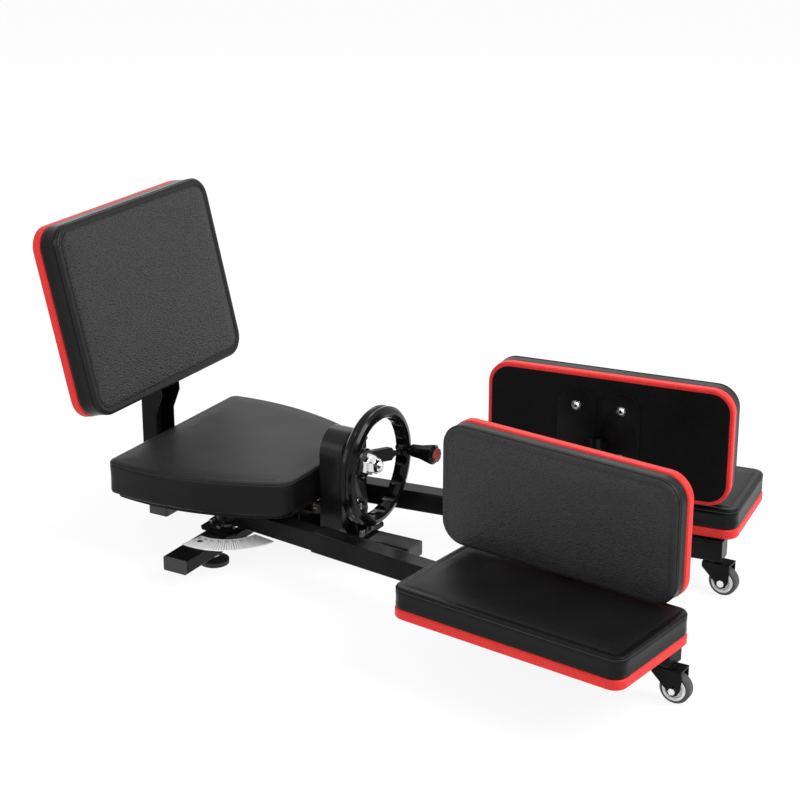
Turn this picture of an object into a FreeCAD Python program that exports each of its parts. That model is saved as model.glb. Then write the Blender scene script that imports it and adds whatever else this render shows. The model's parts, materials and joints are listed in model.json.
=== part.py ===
import FreeCAD, Part
import math
import os
from FreeCAD import Vector

# A leg stretching machine: seat and backrest on a floor frame, two leg arms that swing apart.
# The handwheel turns a spur train and a worm, and the worm drives a toothed sector on each arm.
# +X points forward to the casters, +Y to the sitter's left, +Z up, and the floor is at Z = 0.

# Floor frame
BEAM_WIDTH = 50.0
BEAM_HEIGHT = 28.0
BEAM_WALL = 2.0
BEAM_BOTTOM = 28.0
BEAM_REAR = -243.0
BEAM_FRONT = 345.0
STABILISER_REACH = 268.0
CAP_FLANGE = 3.0
CAP_PLUG = 12.0
FIT_GAP = 0.3
REAR_LEG_SIZE = 38.0
REAR_LEG_X = -223.5
LEG_CAP_WALL = 3.0
LEG_CAP_HEIGHT = 18.0
FOOT_Y = 147.0
FOOT_RADIUS = 27.5
FOOT_HEIGHT = 14.0
STUD_RADIUS = 5.0
STUD_TOP_MARGIN = 8.0

# Back post and backrest
POST_WIDTH = 60.0
POST_DEPTH = 32.0
POST_FLARE_DEPTH = 48.0
POST_WALL = 3.0
POST_BEND_Z = 258.0
POST_FRONT_X = -241.0
POST_TAB = 230.0
BACK_TILT = 13.7
BACK_WIDTH = 466.0
BACK_LENGTH = 363.0
BACK_START = 2.0
BACK_SIDE = 38.0
BOARD_THICKNESS = 18.0
BOARD_BEVEL = 2.5
PAD_CORNER = 42.0
CROWN = 9.0
SIDE_DRAW = 1.6

# Seat
SEAT_REAR = -196.0
SEAT_FRONT = 161.0
SEAT_HALF_WIDTH = 212.0
SEAT_REAR_HALF = 209.0
SEAT_CORNER = 18.0
SEAT_WAIST_X = 12.0
SEAT_WAIST_HALF = 197.0
SEAT_NOSE_X = 142.0
SEAT_NOSE_HALF = 146.0
SEAT_NOSE_FLAT = 112.0
SEAT_BOTTOM = 121.0
SEAT_SEAM = 181.0
SEAT_BOARD = 8.0
SEAT_BOARD_INSET = 0.94
PEDESTAL_HALF_WIDTH = 45.0
PEDESTAL_PLATE = 4.0
PEDESTAL_REAR_X = -150.0
PEDESTAL_FRONT_X = 120.0
PEDESTAL_LIP = 26.0

# Pivots of the two leg arms
PIVOT_RADIUS = 10.0
BASE_PLATE = 3.0
BASE_HALF = 41.0
FLANGE_RADIUS = 38.0
FLANGE_THICKNESS = 5.0
FLANGE_BOLTS = 6
FLANGE_BOLT_CIRCLE = 30.0
THRUST_WASHER = 3.0
HUB_RADIUS = 22.0
HUB_HEIGHT = 34.0
BUSH_WALL = 3.0
RUN_GAP = 0.05
PIVOT_WASHER = 2.0
PIVOT_NUT_FLATS = 24.0
PIVOT_NUT_HEIGHT = 8.0
SCALE_OUTER = 117.0
SCALE_INNER = 68.0
SCALE_PLATE = 1.6
SCALE_START = -102.0
SCALE_SWEEP = 92.0

# Worm drive
MODULE = 3.0
SECTOR_COUNT = 58
WORM_PITCH_RADIUS = 11.0
WORM_ADDENDUM = 2.8
WORM_DEDENDUM = 3.6
WORM_HALF_LENGTH = 19.0
WORM_Z = 92.0
WORM_SHAFT_RADIUS = 7.0
SECTOR_THICKNESS = 12.0
SECTOR_FIRST = -184.0
SECTOR_LAST = -71.0
TOOTH_PLAY = 0.4
PRESSURE_ANGLE = 20.0
PIVOT_Y = WORM_PITCH_RADIUS + MODULE * SECTOR_COUNT / 2.0
SPUR_MODULE = 2.0
SPUR_SMALL = 18
SPUR_LARGE = 34
SPUR_WIDTH = 16.0
SPUR_X = 180.0
SPUR_PLAY = 0.3

# Gear case
CASE_REAR = 170.0
CASE_DEPTH = 43.0
CASE_HALF_WIDTH = 45.0
CASE_WALL = 3.0
CASE_BOTTOM = 62.0
COVER_THICKNESS = 4.0
HOUSING_LENGTH = 23.0
HOUSING_HALF = 15.0
SADDLE_PLATE = 6.0
SADDLE_HALF = 52.0
SADDLE_FRONT = 40.0
SADDLE_BOLT_X = 30.0
SADDLE_BOLT_Y = 16.0
LUG_HALF = 18.0
LUG_HEIGHT = 66.0
CLAMP_NUT_FLATS = 19.0

# Handwheel
WHEEL_RADIUS = 112.0
RIM_DEPTH = 23.0
RIM_REAR = 249.0
RIM_WIDTH = 30.0
RIM_GROOVE = 3.0
SCALLOPS = 15
SCALLOP_RADIUS = 14.0
SCALLOP_DEPTH = 4.5
HUB_DISH_X = 224.0
WHEEL_HUB_LENGTH = 20.0
WHEEL_HUB_RADIUS = 28.0
SPOKES = 3
SPOKE_WIDTH = 25.0
SPOKE_FLARE = 46.0
SPOKE_THICKNESS = 9.0
WHEEL_SHAFT_RADIUS = 8.0
WHEEL_NUT_FLATS = 36.0
WHEEL_NUT_HEIGHT = 10.0
ACORN_FLATS = 28.0
HANDLE_CIRCLE = 100.0
HANDLE_LENGTH = 55.0
HANDLE_COLLAR = 4.0
HANDLE_COLLAR_RADIUS = 9.5
HANDLE_REAR_RADIUS = 12.5
HANDLE_FRONT_RADIUS = 20.0
HANDLE_BEVEL = 5.0
HANDLE_LOBES = 8
HANDLE_FLUTE = 0.93
HANDLE_CAP = 4.0
SPINDLE_RADIUS = 5.0

# Leg arms, legs and their pads
SPLAY = 7.0
ARM_SIZE = 36.0
ARM_WALL = 2.0
ARM_BOTTOM = 68.5
ARM_LENGTH = 400.0
LEG_WALL = 1.7
SLIDE_GAP = 0.3
LEG_START = 216.0
LEG_END = 954.0
FAR_LEG_RETRACT = 83.0
STRAP_THICKNESS = 3.0
STRAP_WIDTH = 44.0
STRAP_STATIONS = (640.0, 880.0)
PAD_INNER_T = -14.0
LOWER_PAD_START = 538.0
LOWER_PAD_LENGTH = 440.0
LOWER_PAD_WIDTH = 223.0
LOWER_PAD_SIDE = 33.0
LOWER_CORNER = 24.0
UPPER_PAD_START = 509.0
UPPER_PAD_LENGTH = 456.0
UPPER_PAD_HEIGHT = 218.0
UPPER_PAD_BOTTOM = 173.0
UPPER_BOARD_T = -21.0
UPPER_PAD_SIDE = 24.5
POST_S = 720.0
POST_T = -37.0
SLEEVE_RADIUS = 13.0
SLEEVE_BORE = 11.0
SLEEVE_BOTTOM = 186.0
SLEEVE_TOP = 278.0
PIN_STEP = 16.0
BRACKET_PLATE = 3.0
BRACKET_WIDTH = 72.0
BRACKET_GAP = 10.0
BRACKET_BOTTOM = 200.0
BRACKET_TOP = 363.0
BRACKET_BOLT_Z = (238.0, 329.0)
BRACKET_BOLT_OFFSET = 42.0
KNOB_S = 22.0

# Casters
CASTER_BACK = 14.0
CASTER_TRAIL = 20.0
CASTER_RADIUS = 26.5
CASTER_WIDTH = 23.0
CASTER_TYRE = 6.5
AXLE_RADIUS = 4.0
FORK_PLATE = 3.0
FORK_TOP = 62.0
STEM_RADIUS = 6.0
RACE_RADIUS = 15.0

BEAM_TOP = BEAM_BOTTOM + BEAM_HEIGHT
UP = Vector(0, 0, 1)
FORWARD = Vector(1, 0, 0)
LEFT = Vector(0, 1, 0)
ORIGIN = Vector(0, 0, 0)


def block(low, high):
    size = Vector(*high) - Vector(*low)
    return Part.makeBox(size.x, size.y, size.z, Vector(*low))


def rod(radius, start, direction, length):
    return Part.makeCylinder(radius, length, Vector(*start), direction)


def ring(outer, inner, start, direction, length):
    return rod(outer, start, direction, length).cut(rod(inner, start, direction, length))


def join(shapes):
    whole = shapes[0]
    for shape in shapes[1:]:
        whole = whole.fuse(shape)
    return whole.removeSplitter()


def drill(shape, holes):
    for hole in holes:
        shape = shape.cut(hole)
    return shape


def group(shapes):
    return Part.makeCompound(shapes)


def polygon(points):
    return Part.makePolygon([Vector(*point) for point in points + points[:1]])


def prism(points, direction):
    return Part.Face(polygon(points)).extrude(direction)


def hexagon(flats, start, direction, height):
    corner = flats / 2.0 / math.cos(math.radians(30))
    points = []
    for index in range(6):
        angle = math.radians(60 * index)
        points.append((corner * math.cos(angle), corner * math.sin(angle), 0))
    nut = prism(points, Vector(0, 0, height))
    turn = FreeCAD.Rotation(UP, direction)
    nut.Placement = FreeCAD.Placement(Vector(*start), turn)
    return nut


def rounded_outline(half_x, half_y, radius, z=0.0):
    """A closed rounded rectangle about the Z axis, from four lines and four arcs."""
    edges = []
    flat_x = half_x - radius
    flat_y = half_y - radius
    bevel = radius * math.sqrt(0.5)
    ends = []
    for sign_x, sign_y in ((1, 1), (-1, 1), (-1, -1), (1, -1)):
        x = sign_x * flat_x
        y = sign_y * flat_y
        side = Vector(x + sign_x * radius, y, z)
        middle = Vector(x + sign_x * bevel, y + sign_y * bevel, z)
        top = Vector(x, y + sign_y * radius, z)
        if sign_x * sign_y > 0:
            ends.append((side, middle, top))
        else:
            ends.append((top, middle, side))
    for index in range(4):
        first = ends[index]
        following = ends[(index + 1) % 4]
        edges.append(Part.Arc(*first).toShape())
        edges.append(Part.makeLine(first[2], following[0]))
    return Part.Wire(edges)


def square_tube(length, width, height, wall, corner):
    """A box-section tube from X = 0, its bottom at Z = 0 and its middle at Y = 0."""
    outer = Part.Face(rounded_outline(height / 2, width / 2, corner)).extrude(Vector(0, 0, length))
    bore = rounded_outline(height / 2 - wall, width / 2 - wall, max(corner - wall, 0.4))
    tube = outer.cut(Part.Face(bore).extrude(Vector(0, 0, length)))
    tube.rotate(ORIGIN, LEFT, 90)
    tube.translate(Vector(0, 0, height / 2))
    return tube


def soft_loft(section, depth, half_x, half_y):
    """A crowned cushion from Z = 0: its sides draw in below the seam, and its face swells above it."""
    levels = (
        (0.0, 0.4),
        (0.5 * depth, SIDE_DRAW),
        (depth, 0.0),
        (depth + 0.5 * CROWN, 5.0),
        (depth + 0.85 * CROWN, 24.0),
        (depth + CROWN, 70.0),
    )
    wires = []
    for height, inset in levels:
        wires.append(section((half_x - inset) / half_x, (half_y - inset) / half_y, height))
    return Part.makeLoft(wires, True, True)


def pad_solid(half_x, half_y, corner, start, depth):
    """A square-edged pad with rounded corners, either a board or, through a loft, a cushion."""

    def section(scale_x, scale_y, height):
        radius = corner * min(scale_x, scale_y)
        return rounded_outline(half_x * scale_x, half_y * scale_y, radius, start + height)

    return soft_loft(section, depth, half_x, half_y)


def board_solid(half_x, half_y, corner, thickness):
    face = Part.Face(rounded_outline(half_x, half_y, corner))
    board = face.extrude(Vector(0, 0, thickness))
    rims = [edge for edge in board.Edges if edge.BoundBox.ZLength < 0.001]
    return board.makeChamfer(BOARD_BEVEL, rims)


def involute_half_angle(radius, pitch_radius, thickness):
    """Half the angle of a tooth at a radius, for an involute with this thickness at the pitch circle."""
    base = pitch_radius * math.cos(math.radians(PRESSURE_ANGLE))
    at_pitch = math.tan(math.radians(PRESSURE_ANGLE)) - math.radians(PRESSURE_ANGLE)
    roll = math.acos(min(1.0, base / radius))
    return thickness / 2.0 / pitch_radius + at_pitch - (math.tan(roll) - roll)


def tooth_points(angle, pitch_radius, root, tip, thickness, steps):
    base = pitch_radius * math.cos(math.radians(PRESSURE_ANGLE))
    low = max(root, base + 0.01)
    radii = [low + (tip - low) * step / steps for step in range(steps + 1)]
    points = []
    for radius in radii:
        half = involute_half_angle(radius, pitch_radius, thickness)
        points.append((radius, angle - half))
    for radius in reversed(radii):
        half = involute_half_angle(radius, pitch_radius, thickness)
        points.append((radius, angle + half))
    if low > root + 0.05:
        points = [(root, points[0][1])] + points + [(root, points[-1][1])]
    return points


def spur_gear(count, bore):
    """A spur gear along X from X = 0, with a tooth at +Z when its count is not a multiple of four."""
    pitch_radius = SPUR_MODULE * count / 2.0
    root = pitch_radius - 1.25 * SPUR_MODULE
    tip = pitch_radius + 0.95 * SPUR_MODULE
    thickness = math.pi * SPUR_MODULE / 2.0 - SPUR_PLAY
    points = []
    offset = 0.0 if count == SPUR_SMALL else 0.5
    for index in range(count):
        angle = math.radians(90) + 2 * math.pi * (index + offset) / count
        for radius, turn in tooth_points(angle, pitch_radius, root, tip, thickness, 3):
            points.append((0.0, radius * math.cos(turn), radius * math.sin(turn)))
    gear = prism(points, Vector(SPUR_WIDTH, 0, 0))
    return gear.cut(rod(bore, (-1, 0, 0), FORWARD, SPUR_WIDTH + 2))


def sector_outline(z, twist, first_offset):
    """The outline of a toothed sector at a height, its teeth slanted by a twist in degrees."""
    pitch_radius = MODULE * SECTOR_COUNT / 2.0
    root = pitch_radius - 3.3
    tip = pitch_radius + WORM_ADDENDUM
    thickness = math.pi * MODULE / 2.0 - TOOTH_PLAY
    pitch = 360.0 / SECTOR_COUNT
    points = [(HUB_RADIUS, math.radians(SECTOR_FIRST - 3))]
    points.append((root, math.radians(SECTOR_FIRST - 3)))
    index = math.ceil((SECTOR_FIRST + 90.0) / pitch - first_offset)
    while -90.0 + (index + first_offset) * pitch < SECTOR_LAST:
        angle = math.radians(-90.0 + (index + first_offset) * pitch)
        points.extend(tooth_points(angle, pitch_radius, root, tip, thickness, 2))
        index += 1
    points.append((root, math.radians(SECTOR_LAST + 3)))
    points.append((HUB_RADIUS, math.radians(SECTOR_LAST + 3)))
    shift = math.radians(twist)
    edges = []
    placed = []
    for radius, angle in points:
        placed.append(Vector(radius * math.cos(angle + shift), radius * math.sin(angle + shift), z))
    for first, second in zip(placed, placed[1:]):
        edges.append(Part.makeLine(first, second))
    middle = math.radians((SECTOR_FIRST + SECTOR_LAST) / 2.0) + shift
    hub_middle = Vector(HUB_RADIUS * math.cos(middle), HUB_RADIUS * math.sin(middle), z)
    edges.append(Part.Arc(placed[-1], hub_middle, placed[0]).toShape())
    return Part.Wire(edges)


def sector_gear(first_offset):
    """The toothed sector that is welded round an arm's hub, about the Z axis."""
    lead = MODULE / 2.0 / WORM_PITCH_RADIUS
    pitch_radius = MODULE * SECTOR_COUNT / 2.0
    twist = math.degrees(SECTOR_THICKNESS / 2.0 * lead / pitch_radius)
    low = sector_outline(WORM_Z - SECTOR_THICKNESS / 2.0, -twist, first_offset)
    high = sector_outline(WORM_Z + SECTOR_THICKNESS / 2.0, twist, first_offset)
    wedge = Part.makeLoft([low, high], True, True)
    bore = rod(HUB_RADIUS, (0, 0, 0), UP, WORM_Z + SECTOR_THICKNESS)
    middle = math.radians((SECTOR_FIRST + SECTOR_LAST) / 2.0)
    slots = []
    for step in (-1, 0, 1):
        angle = middle + step * math.radians(33)
        centre = (54 * math.cos(angle), 54 * math.sin(angle), 0)
        slots.append(rod(12.0, centre, UP, WORM_Z + SECTOR_THICKNESS))
    return drill(wedge, [bore] + slots)


def worm_solid():
    """The worm on its core, a right-handed single start, about the X axis."""
    pitch = math.pi * MODULE
    root = WORM_PITCH_RADIUS - WORM_DEDENDUM
    tip = WORM_PITCH_RADIUS + WORM_ADDENDUM
    slope = math.tan(math.radians(PRESSURE_ANGLE))
    half = (pitch / 2.0 - TOOTH_PLAY) / 2.0
    sunk = root - 0.4
    turns = int(2 * WORM_HALF_LENGTH / pitch)
    length = turns * pitch
    profile = (
        (sunk, half + (WORM_PITCH_RADIUS - sunk) * slope),
        (tip, half - WORM_ADDENDUM * slope),
        (tip, -half + WORM_ADDENDUM * slope),
        (sunk, -half - (WORM_PITCH_RADIUS - sunk) * slope),
    )
    helix = Part.makeHelix(pitch, length, WORM_PITCH_RADIUS)
    section = polygon([(radius, 0, along) for radius, along in profile])
    thread = Part.Wire(helix.Edges).makePipeShell([section], True, True)
    core = rod(root, (0, 0, -length / 2 - 5), UP, length + 10)
    thread.translate(Vector(0, 0, -length / 2))
    worm = core.fuse(thread)
    trim = rod(tip + 1, (0, 0, -length / 2 - 5), UP, length + 10)
    worm = worm.common(trim)
    # After these turns the thread crosses the +Y side at whole pitches from the middle of the worm.
    worm.rotate(ORIGIN, LEFT, 90)
    worm.rotate(ORIGIN, FORWARD, 90 + 180.0 * (turns % 2))
    return worm


def beam():
    length = BEAM_FRONT - BEAM_REAR
    tube = square_tube(length, BEAM_WIDTH, BEAM_HEIGHT, BEAM_WALL, 3.0)
    tube.translate(Vector(BEAM_REAR, 0, BEAM_BOTTOM))
    stub = square_tube(BEAM_BOTTOM - LEG_CAP_WALL, REAR_LEG_SIZE, REAR_LEG_SIZE, BEAM_WALL, 3.0)
    stub.rotate(ORIGIN, LEFT, -90)
    stub.translate(Vector(REAR_LEG_X + REAR_LEG_SIZE / 2, 0, LEG_CAP_WALL))
    return join([tube, stub])


def stabiliser(side):
    length = STABILISER_REACH - BEAM_WIDTH / 2
    tube = square_tube(length, BEAM_WIDTH, BEAM_HEIGHT, BEAM_WALL, 3.0)
    tube.rotate(ORIGIN, UP, 90)
    tube.translate(Vector(0, BEAM_WIDTH / 2, BEAM_BOTTOM))
    hole = rod(STUD_RADIUS + RUN_GAP, (0, FOOT_Y, BEAM_BOTTOM - 1), UP, BEAM_WALL + 2)
    plate = block((-BASE_HALF, -BASE_HALF, 0), (BASE_HALF, BASE_HALF, BASE_PLATE))
    corners = [edge for edge in plate.Edges if edge.BoundBox.ZLength > BASE_PLATE / 2]
    plate = plate.makeChamfer(9.0, corners)
    plate.translate(Vector(0, PIVOT_Y, BEAM_TOP))
    bolts = bolt_places()
    holes = [rod(2.6, (x, y, BEAM_TOP - 1), UP, BASE_PLATE + 2) for x, y in bolts]
    return on_side(join([tube.cut(hole), drill(plate, holes)]), side)


def bolt_places():
    places = []
    for index in range(FLANGE_BOLTS):
        angle = math.radians(90 + 360.0 * index / FLANGE_BOLTS)
        x = FLANGE_BOLT_CIRCLE * math.cos(angle)
        y = PIVOT_Y + FLANGE_BOLT_CIRCLE * math.sin(angle)
        places.append((x, y))
    return places


def on_side(shape, side):
    if side > 0:
        return shape
    return shape.mirror(ORIGIN, LEFT)


def tube_cap(width, height, wall):
    """A plug for the end of a tube that runs along X and ends at X = 0."""
    plate = Part.Face(rounded_outline(height / 2, width / 2, 3.0)).extrude(Vector(0, 0, CAP_FLANGE))
    rims = [edge for edge in plate.Edges if edge.BoundBox.ZMin > CAP_FLANGE - 0.01]
    plate = plate.makeChamfer(1.0, rims)
    inside = rounded_outline(height / 2 - wall - 0.1, width / 2 - wall - 0.1, 1.0, -CAP_PLUG)
    plug = Part.Face(inside).extrude(Vector(0, 0, CAP_PLUG))
    cap = join([plate, plug])
    cap.rotate(ORIGIN, LEFT, 90)
    return cap


def frame_caps():
    caps = []
    middle = BEAM_BOTTOM + BEAM_HEIGHT / 2
    front = tube_cap(BEAM_WIDTH, BEAM_HEIGHT, BEAM_WALL)
    front.translate(Vector(BEAM_FRONT, 0, middle))
    caps.append(front)
    for side in (1, -1):
        end = tube_cap(BEAM_WIDTH, BEAM_HEIGHT, BEAM_WALL)
        end.rotate(ORIGIN, UP, 90)
        end.translate(Vector(0, STABILISER_REACH, middle))
        caps.append(on_side(end, side))
    caps.append(rear_leg_cap())
    return group(caps)


def rear_leg_cap():
    half = REAR_LEG_SIZE / 2 + LEG_CAP_WALL
    cup = Part.Face(rounded_outline(half, half, 5.0)).extrude(Vector(0, 0, LEG_CAP_HEIGHT))
    inside = rounded_outline(REAR_LEG_SIZE / 2, REAR_LEG_SIZE / 2, 3.0, LEG_CAP_WALL)
    cup = cup.cut(Part.Face(inside).extrude(Vector(0, 0, LEG_CAP_HEIGHT)))
    cup.translate(Vector(REAR_LEG_X, 0, 0))
    return cup


def levelling_pads():
    pads = []
    for side in (1, -1):
        disc = rod(FOOT_RADIUS, (0, side * FOOT_Y, 0), UP, FOOT_HEIGHT - 6)
        dome = Part.makeCone(FOOT_RADIUS, 12.0, 6.0, Vector(0, side * FOOT_Y, FOOT_HEIGHT - 6), UP)
        pad = disc.fuse(dome).removeSplitter()
        pads.append(pad.cut(rod(STUD_RADIUS, (0, side * FOOT_Y, 5), UP, FOOT_HEIGHT)))
    return group(pads)


def levelling_studs():
    studs = []
    for side in (1, -1):
        stud = rod(STUD_RADIUS, (0, side * FOOT_Y, 5), UP, BEAM_BOTTOM + STUD_TOP_MARGIN - 5)
        nut = hexagon(17.0, (0, side * FOOT_Y, BEAM_BOTTOM - 8), UP, 8.0)
        collar = rod(11.0, (0, side * FOOT_Y, FOOT_HEIGHT), UP, 2.0)
        studs.append(join([stud, nut, collar]))
    return group(studs)


def back_place(shape):
    """Moves a shape from pad axes (X up the slope, Z forward out of the post) to its place."""
    slope = math.radians(BACK_TILT)
    along = Vector(-math.sin(slope), 0, math.cos(slope))
    outward = Vector(math.cos(slope), 0, math.sin(slope))
    turn = FreeCAD.Rotation(along, outward.cross(along), outward, "ZXY")
    shape.Placement = FreeCAD.Placement(Vector(POST_FRONT_X, 0, POST_BEND_Z), turn).multiply(shape.Placement)
    return shape


def back_post():
    slope = math.radians(BACK_TILT)
    half = POST_WIDTH / 2
    rear = POST_FRONT_X - POST_WALL
    web = block((rear, -half, BEAM_TOP), (POST_FRONT_X, half, POST_BEND_Z))
    tab = back_place(block((-1.5, -half, -POST_WALL), (POST_TAB, half, 0)))
    top_gap = BACK_START - 1.0

    def slope_point(out, y):
        x = POST_FRONT_X - top_gap * math.sin(slope) + out * math.cos(slope)
        z = POST_BEND_Z + top_gap * math.cos(slope) + out * math.sin(slope)
        return (x, y, z)

    flanges = []
    for y in (-half, half - POST_WALL):
        points = [
            (rear, y, BEAM_TOP),
            (rear + POST_DEPTH, y, BEAM_TOP),
            (rear + POST_DEPTH, y, POST_BEND_Z - 45),
            (rear + POST_FLARE_DEPTH, y, POST_BEND_Z - 5),
            slope_point(POST_FLARE_DEPTH - POST_WALL, y),
            slope_point(0, y),
            (rear, y, POST_BEND_Z),
        ]
        flanges.append(prism(points, Vector(0, POST_WALL, 0)))
    post = join([web, tab] + flanges)
    holes = []
    for place in back_bolt_places():
        holes.append(back_place(rod(3.3, (place[0], place[1], -POST_WALL - 1), UP, POST_WALL + 2)))
    return drill(post, holes)


def back_bolt_places():
    return [(along, y) for along in (55.0, 190.0) for y in (-18.0, 18.0)]


def back_bolts():
    bolts = []
    for along, y in back_bolt_places():
        head = hexagon(13.0, (along, y, -POST_WALL - 5.0), UP, 5.0)
        shank = rod(3.2, (along, y, -POST_WALL), UP, POST_WALL + 10.0)
        bolts.append(back_place(join([head, shank])))
    return bolts


def back_board():
    board = board_solid(BACK_LENGTH / 2, BACK_WIDTH / 2, PAD_CORNER, BOARD_THICKNESS)
    board.translate(Vector(BACK_START + BACK_LENGTH / 2, 0, 0))
    holes = [rod(3.2, (along, y, -1), UP, 11.0) for along, y in back_bolt_places()]
    return back_place(drill(board, holes))


def back_cushion():
    cushion = pad_solid(BACK_LENGTH / 2, BACK_WIDTH / 2, PAD_CORNER, BOARD_THICKNESS, BACK_SIDE)
    cushion.translate(Vector(BACK_START + BACK_LENGTH / 2, 0, 0))
    return back_place(cushion)


def seat_section(scale_x, scale_y, z):
    """The seat's outline at a height: a straight rear edge, full sides and a narrower nose."""
    middle = (SEAT_REAR + SEAT_FRONT) / 2

    def at(x, y):
        return Vector(middle + (x - middle) * scale_x, y * scale_y, z)

    bevel = SEAT_CORNER * (1 - math.sqrt(0.5))
    half = [
        Part.Arc(
            at(SEAT_REAR, SEAT_REAR_HALF - SEAT_CORNER),
            at(SEAT_REAR + bevel, SEAT_REAR_HALF - bevel),
            at(SEAT_REAR + SEAT_CORNER, SEAT_REAR_HALF),
        ).toShape(),
        Part.Arc(
            at(SEAT_REAR + SEAT_CORNER, SEAT_REAR_HALF),
            at((SEAT_REAR + SEAT_CORNER + SEAT_WAIST_X) / 2 + 6, SEAT_HALF_WIDTH),
            at(SEAT_WAIST_X, SEAT_WAIST_HALF),
        ).toShape(),
        Part.Arc(
            at(SEAT_WAIST_X, SEAT_WAIST_HALF),
            at((SEAT_WAIST_X + SEAT_NOSE_X) / 2 + 5, (SEAT_WAIST_HALF + SEAT_NOSE_HALF) / 2 + 3),
            at(SEAT_NOSE_X, SEAT_NOSE_HALF),
        ).toShape(),
        Part.Arc(
            at(SEAT_NOSE_X, SEAT_NOSE_HALF),
            at(SEAT_FRONT - 5, (SEAT_NOSE_HALF + SEAT_NOSE_FLAT) / 2 + 3),
            at(SEAT_FRONT, SEAT_NOSE_FLAT),
        ).toShape(),
    ]
    edges = list(half)
    edges.append(Part.makeLine(at(SEAT_FRONT, SEAT_NOSE_FLAT), at(SEAT_FRONT, -SEAT_NOSE_FLAT)))
    for edge in reversed(half):
        edges.append(edge.mirror(ORIGIN, LEFT))
    rear_y = SEAT_REAR_HALF - SEAT_CORNER
    edges.append(Part.makeLine(at(SEAT_REAR, -rear_y), at(SEAT_REAR, rear_y)))
    return Part.Wire(Part.__sortEdges__(edges))


def seat_cushion():
    half_x = (SEAT_FRONT - SEAT_REAR) / 2

    def section(scale_x, scale_y, height):
        return seat_section(scale_x, scale_y, SEAT_BOTTOM + height)

    return soft_loft(section, SEAT_SEAM - SEAT_BOTTOM, half_x, SEAT_HALF_WIDTH)


def seat_board():
    face = Part.Face(seat_section(SEAT_BOARD_INSET, SEAT_BOARD_INSET, SEAT_BOTTOM - SEAT_BOARD))
    return face.extrude(Vector(0, 0, SEAT_BOARD))


def pedestal(x, height):
    """A folded bracket on the beam that carries the seat board and holds a bush of the worm shaft."""
    half = PEDESTAL_HALF_WIDTH
    upright = block((x, -half, BEAM_TOP), (x + PEDESTAL_PLATE, half, height))
    foot_half = BEAM_WIDTH / 2
    foot = block((x, -foot_half, BEAM_TOP), (x + PEDESTAL_LIP, foot_half, BEAM_TOP + PEDESTAL_PLATE))
    lip = block((x, -half, height - PEDESTAL_PLATE), (x + PEDESTAL_LIP, half, height))
    boss = rod(16.0, (x, 0, WORM_Z), FORWARD, PEDESTAL_PLATE + 8)
    hole = rod(WORM_SHAFT_RADIUS + BUSH_WALL, (x - 1, 0, WORM_Z), FORWARD, PEDESTAL_PLATE + 10)
    return join([upright, foot, lip, boss]).cut(hole)


def pedestals():
    height = SEAT_BOTTOM - SEAT_BOARD
    return group([pedestal(PEDESTAL_REAR_X, height), pedestal(PEDESTAL_FRONT_X, height)])


def worm_bushes():
    bushes = []
    for x in (PEDESTAL_REAR_X, PEDESTAL_FRONT_X):
        start = (x, 0, WORM_Z)
        outer = WORM_SHAFT_RADIUS + BUSH_WALL
        bushes.append(ring(outer, WORM_SHAFT_RADIUS + RUN_GAP, start, FORWARD, PEDESTAL_PLATE + 8))
    return group(bushes)


def pivot_flange(side):
    bottom = BEAM_TOP + BASE_PLATE
    disc = rod(FLANGE_RADIUS, (0, PIVOT_Y, bottom), UP, FLANGE_THICKNESS)
    holes = [rod(2.6, (x, y, bottom - 1), UP, FLANGE_THICKNESS + 2) for x, y in bolt_places()]
    holes.append(rod(PIVOT_RADIUS, (0, PIVOT_Y, bottom - 1), UP, FLANGE_THICKNESS + 2))
    return on_side(drill(disc, holes), side)


def flange_bolts():
    bolts = []
    top = BEAM_TOP + BASE_PLATE + FLANGE_THICKNESS
    for side in (1, -1):
        for x, y in bolt_places():
            head = hexagon(10.0, (x, y, top), UP, 3.5)
            shank = rod(2.6, (x, y, BEAM_TOP), UP, BASE_PLATE + FLANGE_THICKNESS)
            bolts.append(on_side(join([head, shank]), side))
    return bolts


HUB_BOTTOM = BEAM_TOP + BASE_PLATE + FLANGE_THICKNESS + THRUST_WASHER
HUB_TOP = HUB_BOTTOM + HUB_HEIGHT


def pivot_shafts():
    """Each pivot pin with its thrust washer below the hub and its washer and nut above it."""
    shafts = []
    for side in (1, -1):
        bottom = BEAM_TOP + BASE_PLATE
        seat = HUB_BOTTOM - THRUST_WASHER
        pin = rod(PIVOT_RADIUS, (0, PIVOT_Y, bottom), UP, HUB_TOP - bottom)
        thrust = rod(HUB_RADIUS - 2, (0, PIVOT_Y, seat), UP, THRUST_WASHER - 0.1)
        washer = rod(17.0, (0, PIVOT_Y, HUB_TOP + 0.1), UP, PIVOT_WASHER)
        nut_base = HUB_TOP + 0.1 + PIVOT_WASHER
        nut = hexagon(PIVOT_NUT_FLATS, (0, PIVOT_Y, nut_base), UP, PIVOT_NUT_HEIGHT)
        neck = rod(PIVOT_RADIUS - 2, (0, PIVOT_Y, HUB_TOP), UP, PIVOT_WASHER + PIVOT_NUT_HEIGHT + 1)
        shafts.append(on_side(join([pin, thrust, neck, washer, nut]), side))
    return group(shafts)


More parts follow.
